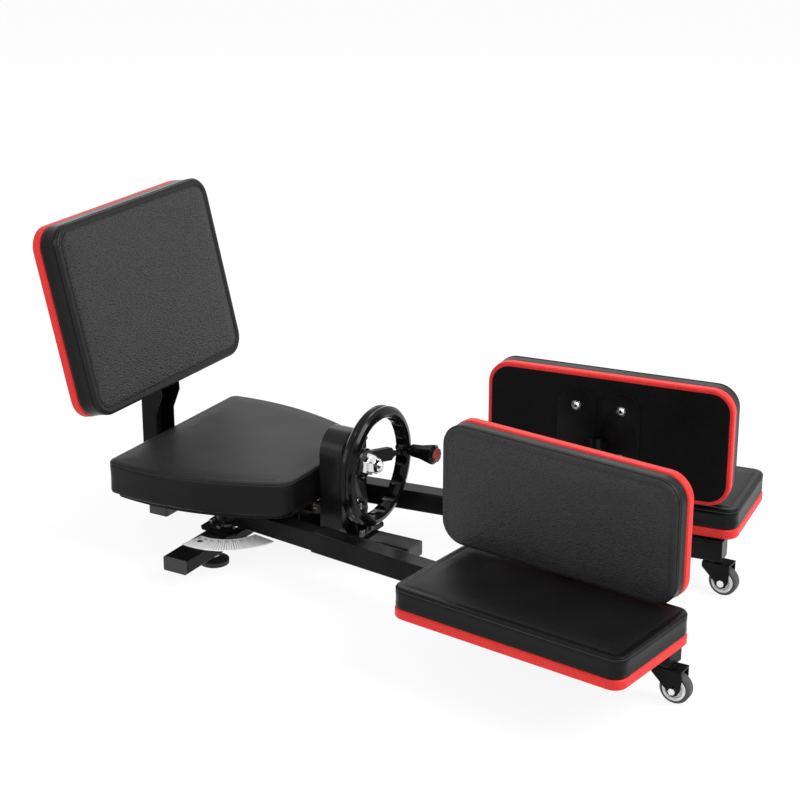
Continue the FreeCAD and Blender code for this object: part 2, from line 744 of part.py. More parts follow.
def protractor(side):
    """The flat scale plate on the stabiliser, an arc about the pivot."""
    outer = rod(SCALE_OUTER, (0, 0, BEAM_TOP), UP, SCALE_PLATE)
    plate = outer.cut(rod(SCALE_INNER, (0, 0, BEAM_TOP - 1), UP, SCALE_PLATE + 2))
    wedge = Part.makeCylinder(SCALE_OUTER + 5, SCALE_PLATE, Vector(0, 0, BEAM_TOP), UP, SCALE_SWEEP)
    plate = plate.common(wedge)
    plate.rotate(ORIGIN, UP, -SCALE_START - SCALE_SWEEP)
    middle = (SCALE_OUTER + SCALE_INNER) / 2
    plate = plate.cut(rod(2.6, (0, middle, BEAM_TOP - 1), UP, SCALE_PLATE + 2))
    plate.translate(Vector(0, PIVOT_Y, 0))
    return on_side(plate, side)


def scale_screws():
    screws = []
    middle = (SCALE_OUTER + SCALE_INNER) / 2
    for side in (1, -1):
        head = rod(5.0, (0, PIVOT_Y + middle, BEAM_TOP + SCALE_PLATE), UP, 2.0)
        shank = rod(2.5, (0, PIVOT_Y + middle, BEAM_TOP), UP, SCALE_PLATE)
        screws.append(on_side(join([head, shank]), side))
    return screws


IDLER_Z = WORM_Z + SPUR_MODULE * (SPUR_SMALL + SPUR_LARGE) / 2
WHEEL_Z = IDLER_Z + SPUR_MODULE * (SPUR_SMALL + SPUR_LARGE) / 2
CASE_ARCH_Z = WHEEL_Z + 16.0
CASE_FRONT = CASE_REAR + CASE_DEPTH
LUG_FRONT = CASE_FRONT + COVER_THICKNESS + 6.0
CLAMP_NUT_Z = CASE_BOTTOM + LUG_HEIGHT - 18.0


def arch(half, bottom, x, length):
    """A plate with a round top over straight sides, extruded along X."""
    y = half
    top = Part.Arc(Vector(x, y, CASE_ARCH_Z), Vector(x, 0, CASE_ARCH_Z + half), Vector(x, -y, CASE_ARCH_Z))
    edges = [
        Part.makeLine(Vector(x, y, bottom), Vector(x, y, CASE_ARCH_Z)),
        top.toShape(),
        Part.makeLine(Vector(x, -y, CASE_ARCH_Z), Vector(x, -y, bottom)),
        Part.makeLine(Vector(x, -y, bottom), Vector(x, y, bottom)),
    ]
    return Part.Face(Part.Wire(edges)).extrude(Vector(length, 0, 0))


def gear_case():
    """The rear shell of the case with its shaft bosses, open at the front."""
    shell = arch(CASE_HALF_WIDTH, CASE_BOTTOM, CASE_REAR, CASE_DEPTH)
    room = arch(CASE_HALF_WIDTH - CASE_WALL, CASE_BOTTOM + CASE_WALL, CASE_REAR + CASE_WALL, CASE_DEPTH)
    shell = shell.cut(room)
    rear = CASE_REAR - HOUSING_LENGTH
    housing = block((rear, -HOUSING_HALF, -HOUSING_HALF), (CASE_REAR, HOUSING_HALF, HOUSING_HALF))
    long_edges = [edge for edge in housing.Edges if edge.BoundBox.XLength > HOUSING_LENGTH / 2]
    housing = housing.makeChamfer(4.0, long_edges)
    housing.translate(Vector(0, 0, WORM_Z))
    screw_bosses = []
    for y, z in cover_screw_places():
        screw_bosses.append(rod(5.0, (CASE_REAR + 1, y, z), FORWARD, CASE_DEPTH - 1))
    shell = join([shell, housing] + screw_bosses)
    holes = [
        rod(WORM_SHAFT_RADIUS + RUN_GAP, (rear - 1, 0, WORM_Z), FORWARD, HOUSING_LENGTH + CASE_WALL + 2),
        rod(6.0, (CASE_REAR - 1, 0, IDLER_Z), FORWARD, CASE_WALL + 2),
        rod(WHEEL_SHAFT_RADIUS + RUN_GAP, (CASE_REAR - 1, 0, WHEEL_Z), FORWARD, CASE_WALL + 2),
    ]
    for y, z in cover_screw_places():
        holes.append(rod(1.7, (CASE_FRONT - 14, y, z), FORWARD, 20))
    return drill(shell, holes)


def cover_screw_places():
    reach = CASE_HALF_WIDTH - CASE_WALL - 3.0
    places = [(side * reach, z) for side in (1, -1) for z in (CASE_BOTTOM + 9, CASE_ARCH_Z - 8)]
    places.append((0.0, CASE_ARCH_Z + reach))
    return places


def gear_cover():
    plate = arch(CASE_HALF_WIDTH, CASE_BOTTOM, CASE_FRONT, COVER_THICKNESS)
    rims = [edge for edge in plate.Edges if edge.BoundBox.XMin > CASE_FRONT + COVER_THICKNESS - 0.01]
    plate = plate.makeChamfer(1.2, rims)
    boss = rod(16.0, (CASE_FRONT, 0, WHEEL_Z), FORWARD, COVER_THICKNESS + 2.5)
    holes = [rod(WHEEL_SHAFT_RADIUS + RUN_GAP, (CASE_FRONT - 1, 0, WHEEL_Z), FORWARD, 20)]
    holes.append(rod(WORM_SHAFT_RADIUS + RUN_GAP, (CASE_FRONT - 1, 0, WORM_Z), FORWARD, COVER_THICKNESS - 1))
    holes.append(rod(6.0, (CASE_FRONT - 1, 0, IDLER_Z), FORWARD, COVER_THICKNESS - 1))
    for y, z in cover_screw_places():
        holes.append(rod(1.7, (CASE_FRONT - 1, y, z), FORWARD, 20))
    return drill(join([plate, boss]), holes)


def cover_screws():
    screws = []
    for y, z in cover_screw_places():
        head = rod(3.2, (CASE_FRONT + COVER_THICKNESS, y, z), FORWARD, 2.0)
        shank = rod(1.7, (CASE_FRONT - 10, y, z), FORWARD, COVER_THICKNESS + 10)
        screws.append(join([head, shank]))
    return screws


def case_saddle():
    """The plate that carries the gear case on the beam, with a tall lug against the cover in front."""
    rear = CASE_REAR - 12
    plate = block((rear, -SADDLE_HALF, BEAM_TOP), (CASE_FRONT + SADDLE_FRONT, SADDLE_HALF, CASE_BOTTOM))
    corners = [edge for edge in plate.Edges if edge.BoundBox.ZLength > SADDLE_PLATE / 2]
    plate = plate.makeChamfer(7.0, corners)
    lug_top = CASE_BOTTOM + LUG_HEIGHT
    lug = block((CASE_FRONT + COVER_THICKNESS, -LUG_HALF, CASE_BOTTOM), (LUG_FRONT, LUG_HALF, lug_top))
    tops = [edge for edge in lug.Edges if edge.BoundBox.ZMin > lug_top - 0.01 and edge.BoundBox.XLength > 1]
    lug = lug.makeChamfer(8.0, tops)
    gussets = []
    for y in (-LUG_HALF, LUG_HALF - 4.0):
        points = [
            (LUG_FRONT, y, CASE_BOTTOM),
            (LUG_FRONT + 12.0, y, CASE_BOTTOM),
            (LUG_FRONT, y, CASE_BOTTOM + 34.0),
        ]
        gussets.append(prism(points, Vector(0, 4.0, 0)))
    holes = [rod(4.1, (x, y, BEAM_TOP - 1), UP, SADDLE_PLATE + 2) for x, y in saddle_bolt_places()]
    holes.append(rod(5.1, (CASE_FRONT, 0, CLAMP_NUT_Z), FORWARD, 20.0))
    return drill(join([plate, lug] + gussets), holes)


def saddle_bolt_places():
    return [(CASE_FRONT + SADDLE_BOLT_X, side * SADDLE_BOLT_Y) for side in (-1, 1)]


def saddle_bolts():
    bolts = []
    for x, y in saddle_bolt_places():
        head = hexagon(10.0, (x, y, CASE_BOTTOM), UP, 6.0)
        shank = rod(4.0, (x, y, BEAM_TOP), UP, SADDLE_PLATE)
        bolts.append(join([head, shank]))
    stud = rod(5.0, (CASE_FRONT + COVER_THICKNESS, 0, CLAMP_NUT_Z), FORWARD, 18.0)
    washer = rod(12.0, (LUG_FRONT, 0, CLAMP_NUT_Z), FORWARD, 2.0)
    nut = hexagon(CLAMP_NUT_FLATS, (LUG_FRONT + 2.0, 0, CLAMP_NUT_Z), FORWARD, 9.0)
    bolts.append(join([stud, washer, nut]))
    return bolts


def worm_shaft():
    """The long shaft under the seat with its worm, from the rear bush to the lower gear in the case."""
    start = PEDESTAL_REAR_X - 4
    end = CASE_FRONT + COVER_THICKNESS - 2.2
    shaft = rod(WORM_SHAFT_RADIUS, (start, 0, 0), FORWARD, end - start)
    whole = join([shaft, worm_solid()])
    whole.translate(Vector(0, 0, WORM_Z))
    return whole


def lower_gear():
    gear = spur_gear(SPUR_SMALL, WORM_SHAFT_RADIUS)
    gear.translate(Vector(SPUR_X, 0, WORM_Z))
    return gear


def idler_gear():
    gear = spur_gear(SPUR_LARGE, 6.0 + RUN_GAP)
    gear.translate(Vector(SPUR_X, 0, IDLER_Z))
    return gear


def idler_pin():
    return rod(6.0, (CASE_REAR, 0, IDLER_Z), FORWARD, CASE_DEPTH + COVER_THICKNESS - 2.2)


def handwheel_gear():
    gear = spur_gear(SPUR_SMALL, WHEEL_SHAFT_RADIUS)
    gear.translate(Vector(SPUR_X, 0, WHEEL_Z))
    return gear


def handwheel_shaft():
    end = HUB_DISH_X + WHEEL_HUB_LENGTH + WHEEL_NUT_HEIGHT + 6
    return rod(WHEEL_SHAFT_RADIUS, (CASE_REAR, 0, WHEEL_Z), FORWARD, end - CASE_REAR)


def rim_profile():
    """The rim's section: two round bands with a groove between them, and a softer inner side."""
    inner = WHEEL_RADIUS - RIM_DEPTH
    half = [
        (0.0, inner + 0.42 * RIM_DEPTH),
        (0.09, WHEEL_RADIUS - 0.2 * RIM_DEPTH),
        (0.24, WHEEL_RADIUS),
        (0.40, WHEEL_RADIUS - 0.3 * RIM_GROOVE),
        (0.50, WHEEL_RADIUS - RIM_GROOVE),
    ]
    inside = [(0.38, inner), (0.12, inner + 0.14 * RIM_DEPTH)]
    far = [(1.0 - share, radius) for share, radius in reversed(half[:-1])]
    far_inside = [(1.0 - share, radius) for share, radius in reversed(inside)]
    return [(RIM_REAR + share * RIM_WIDTH, 0, radius) for share, radius in half + far + far_inside + inside]


def wheel_spoke():
    """One spoke up the Z axis: bent forward from the hub to the rim, and flared where it meets the rim."""
    hub_middle = HUB_DISH_X + WHEEL_HUB_LENGTH / 2
    rim_middle = RIM_REAR + RIM_WIDTH / 2
    reach = WHEEL_RADIUS - 0.6 * RIM_DEPTH
    bend = WHEEL_RADIUS - RIM_DEPTH - 12.0
    thick = SPOKE_THICKNESS / 2
    side_view = [
        (hub_middle - thick, -SPOKE_FLARE, 9.0),
        (hub_middle + thick, -SPOKE_FLARE, 9.0),
        (hub_middle + thick, -SPOKE_FLARE, WHEEL_HUB_RADIUS + 4),
        (rim_middle + thick, -SPOKE_FLARE, bend),
        (rim_middle + thick, -SPOKE_FLARE, reach),
        (rim_middle - thick, -SPOKE_FLARE, reach),
        (rim_middle - thick, -SPOKE_FLARE, bend + 3),
        (hub_middle - thick, -SPOKE_FLARE, WHEEL_HUB_RADIUS + 7),
    ]
    front_view = [
        (0, -SPOKE_WIDTH / 2 - 4, 0),
        (0, -SPOKE_WIDTH / 2, WHEEL_HUB_RADIUS + 8),
        (0, -SPOKE_WIDTH / 2, bend - 6),
        (0, -SPOKE_FLARE / 2, reach),
        (0, SPOKE_FLARE / 2, reach),
        (0, SPOKE_WIDTH / 2, bend - 6),
        (0, SPOKE_WIDTH / 2, WHEEL_HUB_RADIUS + 8),
        (0, SPOKE_WIDTH / 2 + 4, 0),
    ]
    bent = prism(side_view, Vector(0, 2 * SPOKE_FLARE, 0))
    flared = prism(front_view, Vector(RIM_REAR + RIM_WIDTH, 0, 0))
    return bent.common(flared)


def handwheel():
    """A dished wheel: a rim of two round bands with finger scallops, and three flared spokes."""
    rim = Part.Face(polygon(rim_profile())).revolve(ORIGIN, FORWARD, 360)
    hub = rod(WHEEL_HUB_RADIUS, (HUB_DISH_X, 0, 0), FORWARD, WHEEL_HUB_LENGTH)
    rims = [edge for edge in hub.Edges if edge.BoundBox.XLength < 0.01]
    hub = hub.makeChamfer(3.0, rims)
    pieces = [rim, hub]
    for index in range(SPOKES):
        spoke = wheel_spoke()
        spoke.rotate(ORIGIN, FORWARD, -90 + 360.0 * index / SPOKES)
        pieces.append(spoke)
    wheel = join(pieces)
    cuts = [rod(WHEEL_SHAFT_RADIUS, (HUB_DISH_X - 1, 0, 0), FORWARD, WHEEL_HUB_LENGTH + 2)]
    radius = WHEEL_RADIUS - RIM_DEPTH - SCALLOP_RADIUS + SCALLOP_DEPTH
    for index in range(SCALLOPS):
        angle = math.radians(360.0 * (index + 0.5) / SCALLOPS)
        start = (RIM_REAR - 1, radius * math.cos(angle), radius * math.sin(angle))
        cuts.append(rod(SCALLOP_RADIUS, start, FORWARD, RIM_WIDTH + 2))
    cuts.append(rod(SPINDLE_RADIUS, (RIM_REAR - 1, HANDLE_CIRCLE, 0), FORWARD, RIM_WIDTH + 2))
    wheel = drill(wheel, cuts)
    wheel.translate(Vector(0, 0, WHEEL_Z))
    return wheel


def hub_nuts():
    """The clamp nut and the domed nut on the end of the handwheel shaft."""
    start = HUB_DISH_X + WHEEL_HUB_LENGTH
    nut = hexagon(WHEEL_NUT_FLATS, (start, 0, WHEEL_Z), FORWARD, WHEEL_NUT_HEIGHT)
    acorn = hexagon(ACORN_FLATS, (start + WHEEL_NUT_HEIGHT, 0, WHEEL_Z), FORWARD, 12.0)
    pieces = [nut, acorn]
    front = start + WHEEL_NUT_HEIGHT + 12.0
    dome = ACORN_FLATS / 2 - 1
    for low, high in ((0.0, 30.0), (30.0, 60.0)):
        x = dome * math.sin(math.radians(low))
        rise = dome * math.sin(math.radians(high)) - x
        base = dome * math.cos(math.radians(low))
        top = dome * math.cos(math.radians(high))
        pieces.append(Part.makeCone(base, top, rise, Vector(front + x, 0, WHEEL_Z), FORWARD))
    bore = rod(WHEEL_SHAFT_RADIUS, (start - 1, 0, WHEEL_Z), FORWARD, WHEEL_NUT_HEIGHT + 7)
    return join(pieces).cut(bore)


def handle_spindle():
    """The pin through the rim that the grip turns on, with a collar behind the grip and a head in front."""
    front = RIM_REAR + RIM_WIDTH
    centre = Vector(0, HANDLE_CIRCLE, WHEEL_Z)
    pin = rod(SPINDLE_RADIUS, (RIM_REAR, 0, 0), FORWARD, RIM_WIDTH + HANDLE_LENGTH)
    collar = rod(HANDLE_COLLAR_RADIUS, (front, 0, 0), FORWARD, HANDLE_COLLAR)
    head = rod(SPINDLE_RADIUS + 3.0, (front + HANDLE_LENGTH, 0, 0), FORWARD, 1.6)
    spindle = join([pin, collar, head])
    spindle.translate(centre)
    return spindle


def lobed_outline(radius, x):
    """A fluted outline about the X axis: corners on the radius with shallow flutes between them."""
    points = []
    for index in range(2 * HANDLE_LOBES):
        angle = math.pi * index / HANDLE_LOBES
        reach = radius * (HANDLE_FLUTE if index % 2 else 1.0)
        points.append((x, reach * math.cos(angle), reach * math.sin(angle)))
    return polygon(points)


def handle_grip():
    """The fluted grip, which widens from the collar to a bevelled front edge."""
    start = RIM_REAR + RIM_WIDTH + HANDLE_COLLAR + 0.3
    end = RIM_REAR + RIM_WIDTH + HANDLE_LENGTH - 0.3
    sections = [
        lobed_outline(HANDLE_REAR_RADIUS - 1.0, start),
        lobed_outline(HANDLE_REAR_RADIUS, start + 2.0),
        lobed_outline(HANDLE_REAR_RADIUS + 1.5, start + 0.4 * (end - start)),
        lobed_outline(HANDLE_FRONT_RADIUS, end - HANDLE_BEVEL),
        lobed_outline(HANDLE_FRONT_RADIUS - HANDLE_BEVEL, end),
    ]
    grip = Part.makeLoft(sections, True, True)
    grip = grip.cut(rod(SPINDLE_RADIUS + RUN_GAP, (start - 1, 0, 0), FORWARD, HANDLE_LENGTH))
    grip.translate(Vector(0, HANDLE_CIRCLE, WHEEL_Z))
    return grip


def handle_cap():
    """The coloured end cap on the front of the grip, hollow over the head of the spindle."""
    start = RIM_REAR + RIM_WIDTH + HANDLE_LENGTH - 0.3
    radius = HANDLE_FRONT_RADIUS - HANDLE_BEVEL - 0.8
    sections = [lobed_outline(radius, start), lobed_outline(radius - 1.0, start + HANDLE_CAP)]
    cap = Part.makeLoft(sections, True, True)
    cap = cap.cut(rod(SPINDLE_RADIUS + 3.5, (start - 1, 0, 0), FORWARD, 3.4))
    cap.translate(Vector(0, HANDLE_CIRCLE, WHEEL_Z))
    return cap


def arm(side):
    """The inner arm: a hub welded to a square tube that the leg tube slides on."""
    tube = square_tube(ARM_LENGTH, ARM_SIZE, ARM_SIZE, ARM_WALL, 3.0)
    tube.translate(Vector(0, 0, ARM_BOTTOM))
    hub = rod(HUB_RADIUS, (0, 0, HUB_BOTTOM), UP, HUB_HEIGHT)
    notch = block((-1, -ARM_SIZE, HUB_TOP - 1.0), (HUB_RADIUS + 6, ARM_SIZE, ARM_BOTTOM + ARM_SIZE + 1))
    bore = rod(PIVOT_RADIUS + BUSH_WALL, (0, 0, HUB_BOTTOM - 10), UP, HUB_HEIGHT + 20)
    shape = join([tube.cut(notch), hub])
    return arm_place(shape.cut(bore), side)


def arm_bushes(side):
    outer = PIVOT_RADIUS + BUSH_WALL
    low = ring(outer, PIVOT_RADIUS + RUN_GAP, (0, 0, HUB_BOTTOM), UP, 12.0)
    high = ring(outer, PIVOT_RADIUS + RUN_GAP, (0, 0, HUB_TOP - 12.0), UP, 12.0)
    return arm_place(group([low, high]), side)


def arm_place(shape, side):
    """Turns an arm's parts to the splay at rest and moves them to their pivot."""
    shape.rotate(ORIGIN, UP, SPLAY)
    shape.translate(Vector(0, PIVOT_Y, 0))
    return on_side(shape, side)


def sector(side):
    if side > 0:
        gear = sector_gear(0.5)
        gear.translate(Vector(0, PIVOT_Y, 0))
        return gear
    gear = sector_gear(0.0)
    gear.rotate(Vector(0, 0, WORM_Z), FORWARD, 180)
    gear.translate(Vector(0, -PIVOT_Y, 0))
    return gear


def leg_place(shape, side):
    """Places a leg's parts along the arm; the left leg is set shorter on its slide."""
    if side > 0:
        shape.translate(Vector(-FAR_LEG_RETRACT, 0, 0))
    return arm_place(shape, side)


LEG_SIZE = ARM_SIZE + 2 * (LEG_WALL + SLIDE_GAP)
LEG_BOTTOM = ARM_BOTTOM - LEG_WALL - SLIDE_GAP
LEG_TOP = LEG_BOTTOM + LEG_SIZE
CASTER_S = LEG_END - CASTER_BACK


def leg_tube(side):
    """The outer leg tube with its pad straps, the pin of the upright pad and the caster socket."""
    tube = square_tube(LEG_END - LEG_START, LEG_SIZE, LEG_SIZE, LEG_WALL, 4.0)
    tube.translate(Vector(LEG_START, 0, LEG_BOTTOM))
    pieces = [tube]
    for station in STRAP_STATIONS:
        low = (station - STRAP_WIDTH / 2, PAD_INNER_T + 6, LEG_TOP)
        high = (station + STRAP_WIDTH / 2, PAD_INNER_T + LOWER_PAD_WIDTH - 22, LEG_TOP + STRAP_THICKNESS)
        pieces.append(block(low, high))
    arm_face = -LEG_SIZE / 2
    lug = block((POST_S - 11, POST_T, LEG_BOTTOM + 4), (POST_S + 11, arm_face, LEG_BOTTOM + 30))
    pin = rod(SLEEVE_RADIUS, (POST_S, POST_T, LEG_BOTTOM + 4), UP, SLEEVE_BOTTOM - 0.4 - LEG_BOTTOM - 4)
    spigot_height = SLEEVE_TOP - PIN_STEP - LEG_BOTTOM - 8
    spigot = rod(SLEEVE_BORE - RUN_GAP, (POST_S, POST_T, LEG_BOTTOM + 8), UP, spigot_height)
    pieces += [lug, pin, spigot]
    leg = join(pieces)
    hole = rod(STEM_RADIUS + RUN_GAP, (CASTER_S, 0, LEG_BOTTOM - 1), UP, LEG_WALL + 2)
    return leg_place(group([leg.cut(hole), leg_cap()]), side)


def leg_cap():
    cap = tube_cap(LEG_SIZE, LEG_SIZE, LEG_WALL)
    trim = block((-CAP_PLUG - 1, -LEG_SIZE, -LEG_SIZE), (-2.4, LEG_SIZE, LEG_SIZE))
    cap = cap.cut(trim)
    cap.translate(Vector(LEG_END, 0, LEG_BOTTOM + LEG_SIZE / 2))
    return cap


def lower_board(side):
    half_x = LOWER_PAD_LENGTH / 2
    half_y = LOWER_PAD_WIDTH / 2
    board = board_solid(half_x, half_y, LOWER_CORNER, BOARD_THICKNESS)
    board.translate(Vector(LOWER_PAD_START + half_x, PAD_INNER_T + half_y, LEG_TOP + STRAP_THICKNESS))
    return leg_place(board, side)


def lower_cushion(side):
    half_x = LOWER_PAD_LENGTH / 2
    half_y = LOWER_PAD_WIDTH / 2
    start = LEG_TOP + STRAP_THICKNESS + BOARD_THICKNESS
    cushion = pad_solid(half_x, half_y, LOWER_CORNER, start, LOWER_PAD_SIDE)
    cushion.translate(Vector(LOWER_PAD_START + half_x, PAD_INNER_T + half_y, 0))
    return leg_place(cushion, side)


def upright_place(shape, side):
    """Stands a flat pad up along the arm, with its board towards the midline."""
    shape.rotate(ORIGIN, FORWARD, -90)
    middle = UPPER_PAD_START + UPPER_PAD_LENGTH / 2
    shape.translate(Vector(middle, UPPER_BOARD_T, UPPER_PAD_BOTTOM + UPPER_PAD_HEIGHT / 2))
    return leg_place(shape, side)


def upright_board(side):
    board = board_solid(UPPER_PAD_LENGTH / 2, UPPER_PAD_HEIGHT / 2, PAD_CORNER, BOARD_THICKNESS)
    return upright_place(board, side)


def upright_cushion(side):
    half_x = UPPER_PAD_LENGTH / 2
    half_y = UPPER_PAD_HEIGHT / 2
    cushion = pad_solid(half_x, half_y, PAD_CORNER, BOARD_THICKNESS, UPPER_PAD_SIDE)
    return upright_place(cushion, side)


def bracket_bolt_places():
    return [(POST_S + sign * BRACKET_BOLT_OFFSET, z) for sign in (-1, 1) for z in BRACKET_BOLT_Z]


def upright_bracket(side):
    """The sleeve of the upright pad with its two round-topped plates."""
    inner_face = UPPER_BOARD_T - BRACKET_PLATE
    pieces = [rod(SLEEVE_RADIUS, (POST_S, POST_T, SLEEVE_BOTTOM), UP, SLEEVE_TOP - SLEEVE_BOTTOM)]
    radius = BRACKET_WIDTH / 2
    for sign in (-1, 1):
        near = POST_S + sign * BRACKET_GAP / 2
        far = near + sign * BRACKET_WIDTH
        low = min(near, far)
        high = low + BRACKET_WIDTH
        body = block((low, inner_face, BRACKET_BOTTOM), (high, UPPER_BOARD_T, BRACKET_TOP - radius))
        cap = rod(radius, (low + radius, inner_face, BRACKET_TOP - radius), LEFT, BRACKET_PLATE)
        rib_x = POST_S + sign * (SLEEVE_RADIUS + 1.2)
        rib = block((rib_x - 1.8, POST_T, SLEEVE_BOTTOM + 20), (rib_x + 1.8, inner_face + 1, SLEEVE_TOP - 12))
        pieces += [body, cap, rib]
    bracket = join(pieces)
    holes = [rod(SLEEVE_BORE, (POST_S, POST_T, SLEEVE_BOTTOM - 1), UP, SLEEVE_TOP - SLEEVE_BOTTOM + 2)]
    for s, z in bracket_bolt_places():
        holes.append(rod(3.1, (s, inner_face - 1, z), LEFT, BRACKET_PLATE + 2))
    return leg_place(drill(bracket, holes), side)


def upright_bolts(side):
    bolts = []
    inner_face = UPPER_BOARD_T - BRACKET_PLATE
    for s, z in bracket_bolt_places():
        washer = rod(8.5, (s, inner_face - 1.4, z), LEFT, 1.4)
        head = Part.makeCone(3.5, 6.0, 3.2, Vector(s, inner_face - 4.6, z), LEFT)
        shank = rod(3.1, (s, inner_face - 1.4, z), LEFT, BRACKET_PLATE + 1.4)
        bolts.append(join([washer, head, shank]))
    return leg_place(group(bolts), side)


def length_knob(side):
    """The pull pin on the leg tube that locks the leg's length."""
    s = LEG_START + KNOB_S
    face = -LEG_SIZE / 2
    middle = LEG_BOTTOM + LEG_SIZE / 2
    socket = rod(9.0, (s, face - 8.0, middle), LEFT, 8.0)
    stem = rod(4.0, (s, face - 16.0, middle), LEFT, 10.0)
    ball = rod(12.0, (s, face - 26.0, middle), LEFT, 11.0)
    rims = [edge for edge in ball.Edges if edge.BoundBox.YLength < 0.01]
    ball = ball.makeChamfer(2.5, rims)
    return leg_place(join([socket, stem, ball]), side)


def caster_place(shape, side):
    """Hangs a caster, built about its own swivel axis, under the end of its leg, trailing forward."""
    retract = FAR_LEG_RETRACT if side > 0 else 0.0
    angle = math.radians(SPLAY)
    reach = CASTER_S - retract
    shape.translate(Vector(reach * math.cos(angle), PIVOT_Y + reach * math.sin(angle), 0))
    return on_side(shape, side)


def caster_fork(side):
    """The swivel fork: a top plate with its stem and two legs that narrow down to the axle."""
    inner = CASTER_WIDTH / 2 + 1.6
    outer = inner + FORK_PLATE
    top = block((-18, -outer, FORK_TOP - FORK_PLATE), (CASTER_TRAIL + 14, outer, FORK_TOP))
    legs = []
    for y in (-outer, inner):
        points = [
            (-18, y, FORK_TOP),
            (-18, y, FORK_TOP - 10),
            (CASTER_TRAIL - 12, y, CASTER_RADIUS),
            (CASTER_TRAIL - 9, y, CASTER_RADIUS - 7),
            (CASTER_TRAIL, y, CASTER_RADIUS - 11),
            (CASTER_TRAIL + 8, y, CASTER_RADIUS - 7),
            (CASTER_TRAIL + 12, y, CASTER_RADIUS),
            (CASTER_TRAIL + 14, y, FORK_TOP - 18),
            (CASTER_TRAIL + 14, y, FORK_TOP),
        ]
        legs.append(prism(points, Vector(0, FORK_PLATE, 0)))
    stem = rod(STEM_RADIUS, (0, 0, FORK_TOP - 1), UP, LEG_BOTTOM + 12 - FORK_TOP)
    race = rod(RACE_RADIUS, (0, 0, FORK_TOP - 1), UP, LEG_BOTTOM - 0.4 - FORK_TOP + 1)
    clip = rod(STEM_RADIUS + 3, (0, 0, LEG_BOTTOM + LEG_WALL + 0.4), UP, 5.0)
    fork = join([top] + legs + [stem, race, clip])
    hole = rod(AXLE_RADIUS, (CASTER_TRAIL, -outer - 1, CASTER_RADIUS), LEFT, 2 * outer + 2)
    return caster_place(group([fork.cut(hole), caster_axle()]), side)


def caster_axle():
    """The axle bolt of a caster with its head and nut."""
    outer = CASTER_WIDTH / 2 + 1.6 + FORK_PLATE
    centre = (CASTER_TRAIL, -outer, CASTER_RADIUS)
    pin = rod(AXLE_RADIUS, centre, LEFT, 2 * outer)
    head = rod(6.5, (CASTER_TRAIL, -outer - 3.5, CASTER_RADIUS), LEFT, 3.5)
    nut = hexagon(11.0, (CASTER_TRAIL, outer, CASTER_RADIUS), LEFT, 5.0)
    return join([pin, head, nut])


def caster_rim(side):
    """The hard centre of the wheel: a bored hub, a web and the ring that the tyre sits on."""
    half = CASTER_WIDTH / 2
    radius = CASTER_RADIUS - CASTER_TYRE
    body = rod(radius, (CASTER_TRAIL, -half, CASTER_RADIUS), LEFT, CASTER_WIDTH)
    cuts = [rod(AXLE_RADIUS + RUN_GAP, (CASTER_TRAIL, -half - 1, CASTER_RADIUS), LEFT, CASTER_WIDTH + 2)]
    for start in (-half - 1, half - 4):
        cuts.append(ring(radius - 4.5, AXLE_RADIUS + 3, (CASTER_TRAIL, start, CASTER_RADIUS), LEFT, 5.0))
    return caster_place(drill(body, cuts), side)


def caster_tyre(side):
    half = CASTER_WIDTH / 2 - 1.5
    inner = CASTER_RADIUS - CASTER_TYRE
    start = (CASTER_TRAIL, -half, CASTER_RADIUS)
    tyre = rod(CASTER_RADIUS, start, LEFT, 2 * half)
    rims = [edge for edge in tyre.Edges if edge.BoundBox.YLength < 0.01]
    tyre = tyre.makeChamfer(3.0, rims)
    tyre = tyre.cut(rod(inner, (CASTER_TRAIL, -half - 1, CASTER_RADIUS), LEFT, 2 * half + 2))
    return caster_place(tyre, side)


def assemble():
    nodes = {
        "base_beam": beam(),
        "end_caps": frame_caps(),
        "stabiliser": group([stabiliser(1), stabiliser(-1)]),
        "protractors": group([protractor(1), protractor(-1)]),
        "levelling_pads": levelling_pads(),
        "levelling_studs": levelling_studs(),
        "back_post": back_post(),
        "hex_bolts": group(back_bolts() + flange_bolts() + saddle_bolts()),
        "round_screws": group(cover_screws() + scale_screws()),
        "back_board": back_board(),
        "back_cushion": back_cushion(),
        "seat_pedestals": pedestals(),
        "seat_board": seat_board(),
        "seat_cushion": seat_cushion(),
        "worm_bushes": worm_bushes(),
        "pivot_flanges": group([pivot_flange(1), pivot_flange(-1)]),
        "pivot_shafts": pivot_shafts(),
        "gear_case": gear_case(),
        "gear_cover": gear_cover(),
        "case_saddle": case_saddle(),
        "worm_shaft": worm_shaft(),
        "lower_gear": lower_gear(),
        "idler_gear": idler_gear(),
        "idler_pin": idler_pin(),
        "handwheel_gear": handwheel_gear(),
        "handwheel_shaft": handwheel_shaft(),
        "handwheel": handwheel(),
        "hub_nuts": hub_nuts(),
        "handle_spindle": handle_spindle(),
        "handle_grip": handle_grip(),
        "handle_cap": handle_cap(),
    }
    sided = {
        "arm": arm,
        "arm_bushes": arm_bushes,
        "sector": sector,
        "leg_tube": leg_tube,
        "lower_board": lower_board,
        "lower_cushion": lower_cushion,
        "upright_bracket": upright_bracket,
        "upright_bolts": upright_bolts,
        "upright_board": upright_board,
        "upright_cushion": upright_cushion,
        "length_knob": length_knob,
        "caster_fork": caster_fork,
        "caster_rim": caster_rim,
        "caster_tyre": caster_tyre,
    }
    for name, make in sided.items():
        nodes[name + "_left"] = make(1)
        nodes[name + "_right"] = make(-1)
    return nodes


def overall_box(nodes):
    points = []
    for shape in nodes.values():
        points.extend(shape.tessellate(0.2)[0])
    low = [min(point[axis] for point in points) for axis in range(3)]
    high = [max(point[axis] for point in points) for axis in range(3)]
    return low, high


